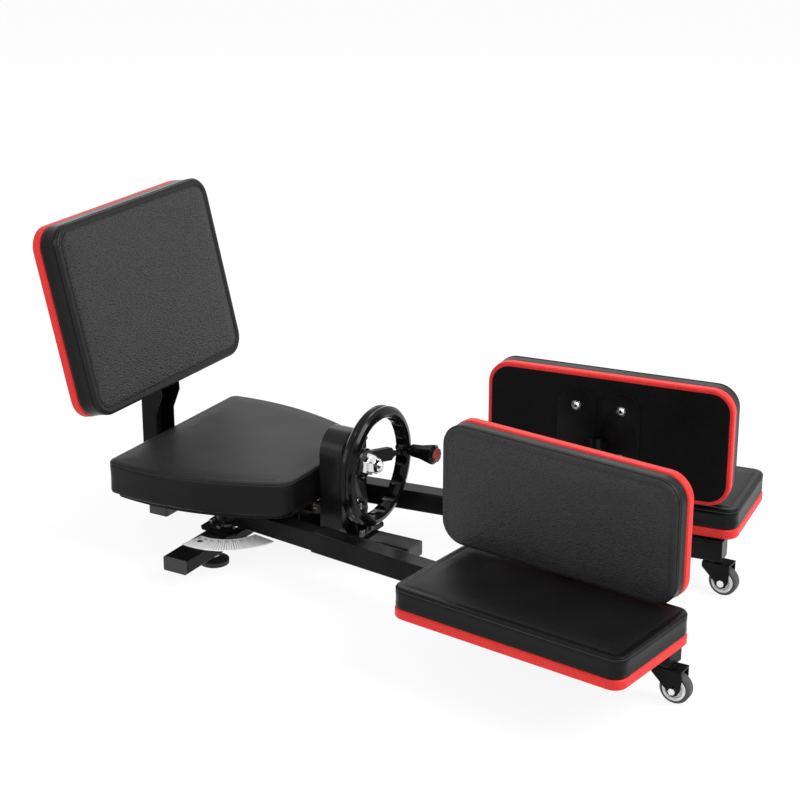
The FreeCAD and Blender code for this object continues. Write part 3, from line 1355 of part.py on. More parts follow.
def model_shift(nodes):
    """The move that puts the origin on the floor under the middle of the whole machine."""
    low, high = overall_box(nodes)
    return Vector(-(low[0] + high[0]) / 2, -(low[1] + high[1]) / 2, -low[2])


def main():
    os.makedirs("parts", exist_ok=True)
    nodes = assemble()
    shift = model_shift(nodes)
    print("shift", [round(value, 4) for value in shift])
    for name, shape in nodes.items():
        shape.translate(shift)
        shape.exportStep("parts/" + name + ".step")
        solids = len(shape.Solids)
        print(name, "solids", solids, "valid", shape.isValid(), "volume", round(shape.Volume))


main()
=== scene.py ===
import json
import math

import bmesh
import bpy
import numpy as np
from mathutils import Matrix, Vector
from mathutils import noise


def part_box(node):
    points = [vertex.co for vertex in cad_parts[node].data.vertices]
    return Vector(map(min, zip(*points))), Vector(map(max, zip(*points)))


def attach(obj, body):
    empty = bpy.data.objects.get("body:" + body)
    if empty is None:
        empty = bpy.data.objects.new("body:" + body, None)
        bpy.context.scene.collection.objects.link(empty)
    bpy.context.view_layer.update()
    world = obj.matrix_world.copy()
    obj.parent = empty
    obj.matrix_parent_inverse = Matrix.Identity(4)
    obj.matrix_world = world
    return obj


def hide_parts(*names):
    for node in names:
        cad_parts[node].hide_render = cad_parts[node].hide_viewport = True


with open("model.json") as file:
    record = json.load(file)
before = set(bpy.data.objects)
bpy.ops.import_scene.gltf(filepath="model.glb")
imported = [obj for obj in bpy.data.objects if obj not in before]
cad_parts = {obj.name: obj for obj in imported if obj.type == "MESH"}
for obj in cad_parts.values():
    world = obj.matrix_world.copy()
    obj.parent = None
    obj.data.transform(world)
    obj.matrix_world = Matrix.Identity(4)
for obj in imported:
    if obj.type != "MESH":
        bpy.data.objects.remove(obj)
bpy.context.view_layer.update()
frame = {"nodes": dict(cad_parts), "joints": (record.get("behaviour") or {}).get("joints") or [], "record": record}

NODES = frame["nodes"]
JOINTS = {joint["name"]: joint for joint in frame["joints"]}
MM = 0.001

# Places taken from the frame: the pivots' line and the midline
PIVOT_LEFT = Vector(JOINTS["left_arm_swing"]["pos_m"])
PIVOT_RIGHT = Vector(JOINTS["right_arm_swing"]["pos_m"])
MIDLINE = (PIVOT_LEFT.y + PIVOT_RIGHT.y) / 2
LEG_AXIS = {
    1: Vector(JOINTS["left_leg_slide"]["axis"]),
    -1: Vector(JOINTS["right_leg_slide"]["axis"]),
}
SIDES = {1: "left", -1: "right"}
UP = Vector((0, 0, 1))

# Camera of the photograph: place from the pivots' line and the midline, in metres
CAMERA_OFFSET = (2.0316, -2.9623, 1.600)
CAMERA_AZIMUTH = 30.1
CAMERA_ELEVATION = 20.3
FOCAL_PIXELS = 2035.0
FRAME_PIXELS = 800.0
SENSOR = 36.0

# Pads, in millimetres as in the part's source
BOARD_THICKNESS = 18.0
CROWN = 9.0
PAD_CORNER = 42.0
LOWER_CORNER = 24.0
BACK_TILT = 13.7
SCALE_OUTER = 117.0
SCALE_INNER = 68.0
SCALE_PLATE = 1.6
SCALE_START = -102.0
SCALE_SWEEP = 92.0
TICK_STEP = 2.5

VOXEL = 0.005
CLOTH_PRESSURE = 4.0
CLOTH_FRAMES = 20
SEAM_GROOVE = 2.4
SEAM_RADIUS = 1.1
ROLL_WIDTH = 14.0
ROLL_HEIGHT = 4.6


# Camera
def make_camera():
    data = bpy.data.cameras.new("camera")
    camera = bpy.data.objects.new("camera", data)
    bpy.context.scene.collection.objects.link(camera)
    camera.location = (PIVOT_LEFT.x + CAMERA_OFFSET[0], MIDLINE + CAMERA_OFFSET[1], CAMERA_OFFSET[2])
    camera.rotation_euler = (math.radians(90 - CAMERA_ELEVATION), 0, math.radians(CAMERA_AZIMUTH))
    data.sensor_width = SENSOR
    data.lens = SENSOR * FOCAL_PIXELS / FRAME_PIXELS
    data.clip_end = 100
    bpy.context.scene.camera = camera
    return camera


# Materials
class Maker:
    """A small helper to write node materials."""

    def __init__(self, name):
        self.material = bpy.data.materials.new(name)
        self.material.use_nodes = True
        self.nodes = self.material.node_tree.nodes
        self.links = self.material.node_tree.links
        self.shader = self.nodes["Principled BSDF"]
        self.coords = self.nodes.new("ShaderNodeTexCoord").outputs["Object"]

    def set(self, **values):
        for key, value in values.items():
            self.shader.inputs[key.replace("_", " ")].default_value = value
        return self

    def noise(self, scale, detail=3.0, roughness=0.5):
        node = self.nodes.new("ShaderNodeTexNoise")
        node.inputs["Scale"].default_value = scale
        node.inputs["Detail"].default_value = detail
        node.inputs["Roughness"].default_value = roughness
        self.links.new(self.coords, node.inputs["Vector"])
        return node.outputs["Fac"]

    def cells(self, scale, feature="F1"):
        node = self.nodes.new("ShaderNodeTexVoronoi")
        node.feature = feature
        node.inputs["Scale"].default_value = scale
        self.links.new(self.coords, node.inputs["Vector"])
        return node.outputs["Distance"]

    def ramp(self, value, low, high, start, end):
        node = self.nodes.new("ShaderNodeMapRange")
        node.inputs["From Min"].default_value = low
        node.inputs["From Max"].default_value = high
        node.inputs["To Min"].default_value = start
        node.inputs["To Max"].default_value = end
        self.links.new(value, node.inputs["Value"])
        return node.outputs["Result"]

    def mix(self, value, first, second):
        node = self.nodes.new("ShaderNodeMix")
        node.data_type = "RGBA"
        node.inputs[6].default_value = (*first, 1)
        node.inputs[7].default_value = (*second, 1)
        self.links.new(value, node.inputs["Factor"])
        return node.outputs[2]

    def add(self, first, second, weight=1.0):
        node = self.nodes.new("ShaderNodeMath")
        node.operation = "MULTIPLY_ADD"
        node.inputs[1].default_value = weight
        self.links.new(second, node.inputs[0])
        self.links.new(first, node.inputs[2])
        return node.outputs[0]

    def attribute(self, name):
        node = self.nodes.new("ShaderNodeAttribute")
        node.attribute_name = name
        return node.outputs["Fac"]

    def darken(self, value, colour, dark):
        node = self.nodes.new("ShaderNodeMix")
        node.data_type = "RGBA"
        node.inputs[7].default_value = (*dark, 1)
        self.links.new(value, node.inputs["Factor"])
        self.links.new(colour, node.inputs[6])
        return node.outputs[2]

    def bump(self, height, strength, distance, rounding=0.0):
        node = self.nodes.new("ShaderNodeBump")
        if isinstance(strength, float):
            node.inputs["Strength"].default_value = strength
        else:
            self.links.new(strength, node.inputs["Strength"])
        node.inputs["Distance"].default_value = distance
        self.links.new(height, node.inputs["Height"])
        if rounding:
            bevel = self.nodes.new("ShaderNodeBevel")
            bevel.samples = 4
            bevel.inputs["Radius"].default_value = rounding
            self.links.new(bevel.outputs["Normal"], node.inputs["Normal"])
        self.links.new(node.outputs["Normal"], self.shader.inputs["Normal"])
        return self

    def colour(self, output):
        self.links.new(output, self.shader.inputs["Base Color"])
        return self

    def roughness(self, output):
        self.links.new(output, self.shader.inputs["Roughness"])
        return self


def leather(name, base, light, grain, roughness, depth, gloss=0.5):
    """Grained synthetic leather: small pebbles, smoother and darker on an edge roll, with painted shade darkening its
    creases.
    """
    maker = Maker(name)
    pebbles = maker.cells(grain)
    fine = maker.noise(grain * 2.2, 4.0, 0.6)
    broad = maker.noise(9.0, 3.0, 0.5)
    roll = maker.attribute("roll")
    face = maker.mix(maker.ramp(broad, 0.3, 0.7, 0.0, 1.0), base, light)
    face = maker.darken(maker.ramp(pebbles, 0.35, 0.75, 0.0, 0.45), face, (0.002, 0.002, 0.002))
    face = maker.darken(maker.ramp(roll, 0.0, 1.0, 0.0, 0.80), face, (0.002, 0.002, 0.002))
    # Painted shade: the creases (the seam's groove and the valley inside the roll) are darkened nearly to black.
    maker.colour(maker.darken(maker.attribute("crease_shade"), face, (0.0005, 0.0005, 0.0005)))
    uneven = maker.ramp(maker.add(broad, fine, 0.5), 0.5, 1.1, roughness - 0.05, roughness + 0.08)
    maker.roughness(maker.add(uneven, roll, -0.12))
    maker.bump(maker.add(pebbles, fine, 0.35), maker.ramp(roll, 0.0, 1.0, 0.8, 0.12), depth)
    maker.set(Specular_IOR_Level=gloss)
    return maker.material


def gloss_paint(name, base, roughness, gloss=0.09):
    """Glossy powder coat with a faint orange peel, paler in broad patches at random."""
    maker = Maker(name)
    peel = maker.noise(420.0, 2.0, 0.5)
    broad = maker.noise(14.0, 3.0, 0.5)
    pale = tuple(min(1.0, value * 1.6 + 0.004) for value in base)
    maker.colour(maker.mix(maker.ramp(broad, 0.35, 0.75, 0.0, 1.0), base, pale))
    maker.roughness(maker.ramp(broad, 0.3, 0.7, roughness - 0.04, roughness + 0.05))
    maker.bump(peel, 0.12, 0.0004, 0.0014)
    maker.set(Specular_IOR_Level=gloss)
    return maker.material


def metal(name, base, roughness, brushed=0.0):
    maker = Maker(name)
    broad = maker.noise(60.0, 3.0, 0.6)
    streak = maker.noise(900.0, 2.0, 0.5)
    pale = tuple(min(1.0, value * 1.12) for value in base)
    maker.colour(maker.mix(maker.ramp(broad, 0.3, 0.7, 0.0, 1.0), base, pale))
    maker.roughness(maker.ramp(broad, 0.3, 0.7, roughness, roughness + 0.08))
    maker.bump(streak, 0.05 + brushed, 0.0002, 0.0005)
    maker.set(Metallic=1.0)
    return maker.material


def plastic(name, base, roughness, texture=0.1, gloss=0.5):
    maker = Maker(name)
    fine = maker.noise(700.0, 3.0, 0.6)
    broad = maker.noise(20.0, 2.0, 0.5)
    pale = tuple(min(1.0, value * 1.25 + 0.003) for value in base)
    maker.colour(maker.mix(maker.ramp(broad, 0.3, 0.7, 0.0, 1.0), base, pale))
    maker.roughness(maker.ramp(broad, 0.3, 0.7, roughness, roughness + 0.07))
    maker.bump(fine, texture, 0.0003, 0.0006)
    maker.set(Specular_IOR_Level=gloss)
    return maker.material


def wood_board(name):
    maker = Maker(name)
    grain = maker.nodes.new("ShaderNodeTexWave")
    grain.inputs["Scale"].default_value = 40.0
    grain.inputs["Distortion"].default_value = 6.0
    maker.links.new(maker.coords, grain.inputs["Vector"])
    maker.colour(maker.mix(grain.outputs["Fac"], (0.0045, 0.0043, 0.004), (0.008, 0.0075, 0.007)))
    maker.roughness(maker.ramp(grain.outputs["Fac"], 0, 1, 0.6, 0.75))
    maker.bump(grain.outputs["Fac"], 0.2, 0.0004)
    maker.set(Specular_IOR_Level=0.15)
    return maker.material


# The backrest's leather has a deeper grain and is a lighter copy of the uprights' leather: painted light on its face,
# which is turned towards the lamps.
LIT_BACK_LEATHER = leather("lit_back_leather", (0.037, 0.037, 0.0375), (0.046, 0.046, 0.047), 300.0, 0.42, 0.0040, 0.22)
BLACK_LEATHER = leather("black_leather", (0.028, 0.028, 0.0285), (0.034, 0.034, 0.035), 380.0, 0.42, 0.0011, 0.22)
SEAT_LEATHER = leather("seat_leather", (0.026, 0.026, 0.0265), (0.033, 0.033, 0.034), 1300.0, 0.36, 0.0002, 0.08)
# The lower pads' leather is a darker copy of the seat's smooth leather: painted shade, as cast on them by the upright
# pads.
SHADED_LOWER_LEATHER = leather("shaded_lower_leather", (0.008, 0.008, 0.0085), (0.011, 0.011, 0.0115), 1300.0, 0.32, 0.0002, 0.09)
# The pads' sides below the seam: a smoother, finer grain, and far darker than the faces as painted shade on the sides.
SHADED_SIDE_LEATHER = leather("shaded_side_leather", (0.0035, 0.0035, 0.004), (0.006, 0.006, 0.0065), 1300.0, 0.38, 0.0002, 0.16)
PANEL_LEATHER = leather("panel_leather", (0.003, 0.003, 0.0035), (0.005, 0.005, 0.0055), 430.0, 0.40, 0.0007, 0.07)
RED_LEATHER = leather("red_leather", (0.84, 0.030, 0.027), (0.90, 0.040, 0.036), 1100.0, 0.42, 0.0003, 0.2)
# Near-black cord for the seams: its black is painted shade of the seam's groove.
SEAM_SHADE_CORD = plastic("seam", (0.002, 0.002, 0.002), 0.7, 0.1)
PAINT = gloss_paint("black_paint", (0.0035, 0.0035, 0.004), 0.22)
CASE_PAINT = gloss_paint("case_paint", (0.0035, 0.0035, 0.004), 0.24, 0.2)
CHROME = metal("bright_steel", (0.72, 0.72, 0.73), 0.10)
STEEL = metal("machined_steel", (0.42, 0.42, 0.43), 0.28, 0.1)
BRONZE = metal("bronze", (0.42, 0.28, 0.12), 0.35, 0.1)
GLOSS_PLASTIC = plastic("gloss_plastic", (0.002, 0.002, 0.0025), 0.10, 0.03, 0.16)
BLACK_PLASTIC = plastic("black_plastic", (0.014, 0.014, 0.015), 0.42, 0.2)
WHITE_PLASTIC = plastic("white_plastic", (0.74, 0.74, 0.74), 0.22, 0.03)
SCALE_WHITE = plastic("scale_white", (0.94, 0.94, 0.93), 0.35, 0.03)
SCALE_INK = plastic("scale_ink", (0.03, 0.03, 0.03), 0.5, 0.05)
CAP_RED = plastic("cap_red", (0.16, 0.008, 0.012), 0.2, 0.03)
RUBBER = plastic("rubber", (0.018, 0.018, 0.018), 0.6, 0.4)
TYRE = plastic("tyre", (0.035, 0.035, 0.038), 0.5, 0.3)
PLYWOOD = wood_board("plywood")

SLOT_MATERIALS = {
    "black_paint": PAINT,
    "black_vinyl": BLACK_LEATHER,
    "red_vinyl": RED_LEATHER,
    "plywood": PLYWOOD,
    "bright_steel": CHROME,
    "machined_steel": STEEL,
    "bronze": BRONZE,
    "black_plastic": BLACK_PLASTIC,
    "gloss_plastic": GLOSS_PLASTIC,
    "white_plastic": WHITE_PLASTIC,
    "scale_white": SCALE_WHITE,
    "cap_red": CAP_RED,
    "rubber": RUBBER,
    "tyre": TYRE,
}


def dress_nodes():
    """Gives every carried-over node its material, and rounded shading between its faces."""
    slot_of = {part["node"]: part["material_slot"] for part in frame["record"]["subparts"]}
    for name, node in NODES.items():
        node.data.materials.clear()
        node.data.materials.append(SLOT_MATERIALS[slot_of[name]])
    for name, material in (("gear_case", CASE_PAINT), ("gear_cover", CASE_PAINT), ("handle_spindle", PAINT)):
        NODES[name].data.materials[0] = material
    for side in SIDES.values():
        accent(NODES["caster_fork_" + side], CHROME, axle_region(side))


def axle_region(side):
    """A test for faces of a caster's axle bolt: near the axle, and outside the fork or inside its bore."""
    hub = Vector(JOINTS[side + "_wheel_roll"]["pos_m"])
    fork_outer = 0.0161

    def test(centre):
        away = math.hypot(centre.x - hub.x, centre.z - hub.z)
        across = abs(centre.y - hub.y)
        return away < 0.0042 or (away < 0.0067 and across > fork_outer + 0.0001)

    return test


def accent(node, material, test):
    node.data.materials.append(material)
    index = len(node.data.materials) - 1
    for face in node.data.polygons:
        if test(face.center):
            face.material_index = index


# Shapes
def link(name, mesh, material, body, smooth=True):
    piece = bpy.data.objects.new(name, mesh)
    bpy.context.scene.collection.objects.link(piece)
    mesh.materials.append(material)
    if smooth:
        for face in mesh.polygons:
            face.use_smooth = True
    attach(piece, body)
    return piece


def mesh_from(name, points, faces):
    mesh = bpy.data.meshes.new(name)
    mesh.from_pydata([tuple(point) for point in points], [], faces)
    mesh.update()
    return mesh


def rounded_rectangle(half_x, half_y, corner, steps=12):
    """Points round a rounded rectangle, counter-clockwise, evenly spread on its sides."""
    points = []
    centres = ((1, 1, 0), (-1, 1, 90), (-1, -1, 180), (1, -1, 270))
    for index, (sign_x, sign_y, start) in enumerate(centres):
        centre = Vector((sign_x * (half_x - corner), sign_y * (half_y - corner)))
        for step in range(steps + 1):
            angle = math.radians(start + 90.0 * step / steps)
            points.append(centre + corner * Vector((math.cos(angle), math.sin(angle))))
        following = centres[(index + 1) % 4]
        goal = Vector((following[0] * (half_x - corner), following[1] * (half_y - corner)))
        turn = math.radians(following[2])
        goal = goal + corner * Vector((math.cos(turn), math.sin(turn)))
        start_point = points[-1].copy()
        count = max(2, int((goal - start_point).length / 12.0))
        for step in range(1, count):
            points.append(start_point.lerp(goal, step / count))
    return points


def arc_points(first, middle, last, steps):
    """Points along the circle through three points, without the last."""
    (x1, y1), (x2, y2), (x3, y3) = first, middle, last
    d = 2 * (x1 * (y2 - y3) + x2 * (y3 - y1) + x3 * (y1 - y2))
    s1, s2, s3 = x1 * x1 + y1 * y1, x2 * x2 + y2 * y2, x3 * x3 + y3 * y3
    cx = (s1 * (y2 - y3) + s2 * (y3 - y1) + s3 * (y1 - y2)) / d
    cy = (s1 * (x3 - x2) + s2 * (x1 - x3) + s3 * (x2 - x1)) / d
    radius = math.hypot(x1 - cx, y1 - cy)
    begin = math.atan2(y1 - cy, x1 - cx)
    turn = math.atan2(y3 - cy, x3 - cx) - begin
    half = math.atan2(y2 - cy, x2 - cx) - begin
    turn = (turn + math.pi) % (2 * math.pi) - math.pi
    half = (half + math.pi) % (2 * math.pi) - math.pi
    if half * turn < 0:
        turn -= math.copysign(2 * math.pi, turn)
    points = []
    for step in range(steps):
        angle = begin + turn * step / steps
        points.append(Vector((cx + radius * math.cos(angle), cy + radius * math.sin(angle))))
    return points


SEAT_REAR = -196.0
SEAT_FRONT = 161.0
SEAT_HALF_WIDTH = 212.0
SEAT_REAR_HALF = 209.0
SEAT_REAR_CORNER = 18.0
SEAT_WAIST = (12.0, 197.0)
SEAT_NOSE = (142.0, 146.0)
SEAT_NOSE_FLAT = 112.0


def seat_outline():
    """The seat's outline about the pivots' line, counter-clockwise, from the same sizes as the part."""
    bevel = SEAT_REAR_CORNER * (1 - math.sqrt(0.5))
    rear = SEAT_REAR
    half = []
    front = (SEAT_FRONT, SEAT_NOSE_FLAT)
    nose_bulge = (SEAT_FRONT - 5, (SEAT_NOSE[1] + SEAT_NOSE_FLAT) / 2 + 3)
    half += arc_points(front, nose_bulge, SEAT_NOSE, 8)
    side_bulge = ((SEAT_WAIST[0] + SEAT_NOSE[0]) / 2 + 5, (SEAT_WAIST[1] + SEAT_NOSE[1]) / 2 + 3)
    half += arc_points(SEAT_NOSE, side_bulge, SEAT_WAIST, 14)
    corner = (rear + SEAT_REAR_CORNER, SEAT_REAR_HALF)
    widest = ((corner[0] + SEAT_WAIST[0]) / 2 + 6, SEAT_HALF_WIDTH)
    half += arc_points(SEAT_WAIST, widest, corner, 16)
    edge = (rear, SEAT_REAR_HALF - SEAT_REAR_CORNER)
    half += arc_points(corner, (rear + bevel, SEAT_REAR_HALF - bevel), edge, 10)
    half.append(Vector(edge))
    count = 28
    start = Vector(edge)
    goal = Vector((edge[0], -edge[1]))
    middle = [start.lerp(goal, step / count) for step in range(1, count)]
    mirrored = [Vector((point.x, -point.y)) for point in reversed(half)]
    front_line = []
    begin = Vector((SEAT_FRONT, -SEAT_NOSE_FLAT))
    finish = Vector((SEAT_FRONT, SEAT_NOSE_FLAT))
    for step in range(1, 20):
        front_line.append(begin.lerp(finish, step / 20))
    return half + middle + mirrored + front_line


def inset_point(outline, index, inset):
    before = outline[index - 1]
    after = outline[(index + 1) % len(outline)]
    along = (after - before).normalized()
    return outline[index] + inset * Vector((-along.y, along.x))


def stack_mesh(name, outline, levels):
    """A closed mesh in millimetres from rings at (height, inset), closed by one flat face below and one above."""
    points = []
    faces = []
    count = len(outline)
    for height, inset in levels:
        for index in range(count):
            place = inset_point(outline, index, inset)
            points.append((place.x, place.y, height))
    for ring in range(len(levels) - 1):
        for index in range(count):
            after = (index + 1) % count
            low = ring * count
            high = low + count
            faces.append((low + index, low + after, high + after, high + index))
    faces.append(tuple(reversed(range(count))))
    faces.append(tuple(range((len(levels) - 1) * count, len(levels) * count)))
    return mesh_from(name, points, faces)


def distance_inside(points, outline):
    """How far each plan point lies inside the outline, negative outside."""
    ring = np.array([(point.x, point.y) for point in outline])
    after = np.roll(ring, -1, axis=0)
    along = after - ring
    lengths = (along ** 2).sum(1)
    result = np.empty(len(points))
    for start in range(0, len(points), 4000):
        part = points[start:start + 4000, None, :]
        share = np.clip(((part - ring) * along).sum(2) / lengths, 0, 1)
        near = ring + share[..., None] * along
        result[start:start + 4000] = np.sqrt(((part - near) ** 2).sum(2)).min(1)
        x, y = points[start:start + 4000, 0, None], points[start:start + 4000, 1, None]
        crosses = (ring[:, 1] > y) != (after[:, 1] > y)
        reach = (after[:, 0] - ring[:, 0]) * (y - ring[:, 1]) / (after[:, 1] - ring[:, 1] + 1e-12) + ring[:, 0]
        inside = (crosses & (x < reach)).sum(1) % 2 == 1
        result[start:start + 4000][~inside] *= -1
    return result


def mesh_points(mesh):
    values = np.empty(len(mesh.vertices) * 3)
    mesh.vertices.foreach_get("co", values)
    return values.reshape(-1, 3)


def simulate(piece, pin_below, top, cap):
    """Blows the pad up a little with cloth pressure, its base held flat, and keeps how far the face rises."""
    remesh = piece.modifiers.new("remesh", "REMESH")
    remesh.mode = "VOXEL"
    remesh.voxel_size = VOXEL
    bake_modifiers(piece)
    before = mesh_points(piece.data).copy()
    held = piece.vertex_groups.new(name="held")
    low = [index for index, point in enumerate(before) if point[2] < pin_below]
    held.add(low, 1.0, "REPLACE")
    cloth = piece.modifiers.new("cloth", "CLOTH")
    cloth.settings.use_pressure = True
    cloth.settings.uniform_pressure_force = CLOTH_PRESSURE
    cloth.settings.effector_weights.gravity = 0
    cloth.settings.vertex_group_mass = "held"
    cloth.settings.tension_stiffness = 30
    cloth.settings.compression_stiffness = 30
    cloth.settings.bending_stiffness = 1.5
    cloth.point_cache.frame_start = 1
    cloth.point_cache.frame_end = CLOTH_FRAMES
    scene = bpy.context.scene
    for step in range(1, CLOTH_FRAMES + 1):
        scene.frame_set(step)
    bake_modifiers(piece)
    scene.frame_set(1)
    risen = np.clip(mesh_points(piece.data)[:, 2] - before[:, 2], 0, cap)
    before[:, 2] += risen * (before[:, 2] > top)
    piece.vertex_groups.clear()
    return before


def bake_modifiers(piece):
    depsgraph = bpy.context.evaluated_depsgraph_get()
    mesh = bpy.data.meshes.new_from_object(piece.evaluated_get(depsgraph))
    old = piece.data
    piece.modifiers.clear()
    piece.data = mesh
    bpy.data.meshes.remove(old)


def cushion_profile(inside, valley):
    """Height above the seam by the distance inside it: an edge roll and a valley, then the crowned face."""
    half = ROLL_WIDTH / 2
    swell = 1 - np.exp(-inside / 55.0)
    rounded = np.sqrt(np.clip(1 - (1 - np.clip(inside / 16.0, 0, 1)) ** 2, 0, 1))
    plain = CROWN * (0.60 * rounded + 0.40 * swell)
    bead = ROLL_HEIGHT * np.sqrt(np.clip(1 - ((inside - half) / (half + 0.3)) ** 2, 0, 1))
    past = np.maximum(inside - ROLL_WIDTH, 0)
    step = np.clip(past / 6.0, 0, 1)
    rise = (ROLL_HEIGHT - 2.2) * step * step * (3 - 2 * step)
    face = 2.2 + rise + (CROWN - ROLL_HEIGHT) * (1 - np.exp(-past / 50.0))
    rolled = np.where(inside < ROLL_WIDTH, np.maximum(bead, np.where(inside > half, 2.2, 0.0)), face)
    return valley * rolled + (1 - valley) * plain


def soften(points, outline, depth, start, valley, seed):
    """Sets the crown, the edge roll and the seam's groove; gives the places, the share of painted crease shade and the
    roll share.
    """
    millimetres = points * 1000.0
    inside = np.maximum(distance_inside(millimetres[:, :2], outline), 0.0)
    height = millimetres[:, 2]
    seam = start + depth
    above = np.clip((height - seam + 3.0) / 3.0, 0, 1)
    simulated = np.maximum(height - seam, 0.0)
    share = 0.35 * np.clip((inside - ROLL_WIDTH) / 25.0, 0, 1)
    shaped = seam + cushion_profile(inside, valley) * (1 - share) + simulated * share
    shaped = np.minimum(shaped, seam + CROWN + 1.0)
    height = np.where(above > 0, height * (1 - above) + shaped * above, height)
    for index, point in enumerate(millimetres):
        if above[index] > 0 and inside[index] > ROLL_WIDTH:
            wave = noise.noise(Vector((point[0] / 70.0 + seed, point[1] / 70.0, 0.0)))
            height[index] += 0.55 * wave * min(1.0, (inside[index] - ROLL_WIDTH) / 30.0)
    near = np.sqrt(inside ** 2 + (height - seam) ** 2)
    pull = SEAM_GROOVE * np.exp(-(near / 2.6) ** 2)
    ring = np.array([(point.x, point.y) for point in outline])
    inward = np.zeros((len(points), 2))
    for begin in range(0, len(points), 4000):
        part = millimetres[begin:begin + 4000, None, :2]
        nearest = ((part - ring) ** 2).sum(2).argmin(1)
        tangent = np.roll(ring, -1, axis=0)[nearest] - np.roll(ring, 1, axis=0)[nearest]
        tangent /= np.linalg.norm(tangent, axis=1)[:, None]
        inward[begin:begin + 4000] = np.stack([-tangent[:, 1], tangent[:, 0]], axis=1)
    side = np.exp(-(inside / 3.0) ** 2) * np.clip((seam - height) / 4.0, 0, 1) * np.clip((height - start) / 4.0, 0, 1)
    drawn = 1.3 * side * np.sin(np.clip((height - start) / depth, 0, 1) * math.pi)
    result = millimetres.copy()
    result[:, :2] += inward * (pull + drawn)[:, None]
    result[:, 2] = height - 0.3 * pull * (height > seam)
    # Painted shade: a dark line along the valley inside the roll and round the seam's groove, kept as the crease share.
    valley_shade = above * valley * np.exp(-((inside - ROLL_WIDTH) / 1.7) ** 2)
    crease_shade = np.clip(valley_shade + np.exp(-(near / 2.4) ** 2), 0, 1)
    roll = valley * np.clip((ROLL_WIDTH + 1.0 - inside) / 2.0, 0, 1)
    return result / 1000.0, {"crease_shade": crease_shade, "roll": roll}


def make_cushion(name, node, outline, start, depth, place, material, body, seed, valley=1.0):
    """A padded piece in its own axes (Z out of the board), then moved to its place on the machine."""
    levels = ((start, 1.0), (start + 2, 0.0), (start + depth - 1, 0.0), (start + depth + 2.0, 2.0))
    mesh = stack_mesh(name, outline, levels)
    mesh.transform(Matrix.Scale(MM, 4))
    piece = bpy.data.objects.new(name, mesh)
    bpy.context.scene.collection.objects.link(piece)
    points = simulate(piece, (start + 3.0) * MM, (start + depth) * MM, (CROWN - 1.0) * MM)
    piece.data.vertices.foreach_set("co", points.ravel())
    subdivide = piece.modifiers.new("subdivide", "SUBSURF")
    subdivide.levels = 1
    subdivide.render_levels = 1
    bake_modifiers(piece)
    points, shares = soften(mesh_points(piece.data), outline, depth, start, valley, seed)
    piece.data.vertices.foreach_set("co", points.ravel())
    for share_name, values in shares.items():
        layer = piece.data.attributes.new(share_name, "FLOAT", "POINT")
        layer.data.foreach_set("value", values)
    piece.data.materials.clear()
    piece.data.materials.append(material)
    piece.data.materials.append(SHADED_SIDE_LEATHER)
    for face in piece.data.polygons:
        face.use_smooth = True
        # Faces below the seam take the darker side leather: painted shade on the pads' sides.
        if face.center.z < (start + depth - 0.5) * MM:
            face.material_index = 1
    piece.data.transform(place)
    # A near-black cord in the seam's groove, standing in for the groove's shade.
    ring = outline_ring(outline, SEAM_GROOVE - 0.4, start + depth, place)
    tube_along(name + "_seam_shade_cord", ring, SEAM_RADIUS * MM, SEAM_SHADE_CORD, body)
    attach(piece, body)
    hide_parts(node)
    return piece


def axes_matrix(origin, x_axis, y_axis, z_axis):
    matrix = Matrix((x_axis, y_axis, z_axis)).transposed().to_4x4()
    matrix.translation = origin
    return matrix


def tube_along(name, points, radius, material, body, sides=8):
    """A closed round cord through points, as a mesh."""
    verts = []
    faces = []
    count = len(points)
    for index, point in enumerate(points):
        before = points[index - 1]
        after = points[(index + 1) % count]
        along = (after - before).normalized()
        across = along.cross(UP if abs(along.z) < 0.9 else Vector((1, 0, 0))).normalized()
        other = along.cross(across)
        for side in range(sides):
            angle = 2 * math.pi * side / sides
            verts.append(point + radius * (math.cos(angle) * across + math.sin(angle) * other))
    for index in range(count):
        for side in range(sides):
            a = index * sides + side
            b = index * sides + (side + 1) % sides
            c = ((index + 1) % count) * sides + (side + 1) % sides
            d = ((index + 1) % count) * sides + side
            faces.append((a, b, c, d))
    return link(name, mesh_from(name, verts, faces), material, body)


def outline_ring(outline, inset, height, place):
    points = []
    for index in range(len(outline)):
        flat = inset_point(outline, index, inset)
        points.append(place @ (Vector((flat.x, flat.y, height)) * MM))
    return points


def back_panel(name, half_x, half_y, corner, place, body):
    """The grained panel that covers the back of a board inside its red border."""
    outline = rounded_rectangle(half_x, half_y, corner)
    levels = ((0.0, 7.5), (-0.9, 7.6), (-1.2, 8.2), (-1.2, 9.0))
    mesh = stack_mesh(name, outline, levels)
    mesh.transform(Matrix.Scale(MM, 4))
    mesh.transform(place)
    flip_outward(mesh)
    return link(name, mesh, PANEL_LEATHER, body, smooth=False)


def flip_outward(mesh):
    work = bmesh.new()
    work.from_mesh(mesh)
    bmesh.ops.recalc_face_normals(work, faces=work.faces)
    work.to_mesh(mesh)
    work.free()


# Pads
def node_middle(name):
    low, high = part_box(name)
    return (low + high) / 2


BACK_HALF = (363.0 / 2, 466.0 / 2)
BACK_SIDE = 38.0
POST_FRONT = Vector((-241.0, 0, 258.0))
BACK_START = 2.0


def local(x, y, z):
    """A place in metres from millimetres about the pivots' line and the midline."""
    return Vector((PIVOT_LEFT.x + x * MM, MIDLINE + y * MM, z * MM))


def back_place():
    slope = math.radians(BACK_TILT)
    along = Vector((-math.sin(slope), 0, math.cos(slope)))
    outward = Vector((math.cos(slope), 0, math.sin(slope)))
    origin = local(*POST_FRONT) + along * (BACK_START + BACK_HALF[0]) * MM
    return axes_matrix(origin, along, outward.cross(along), outward)


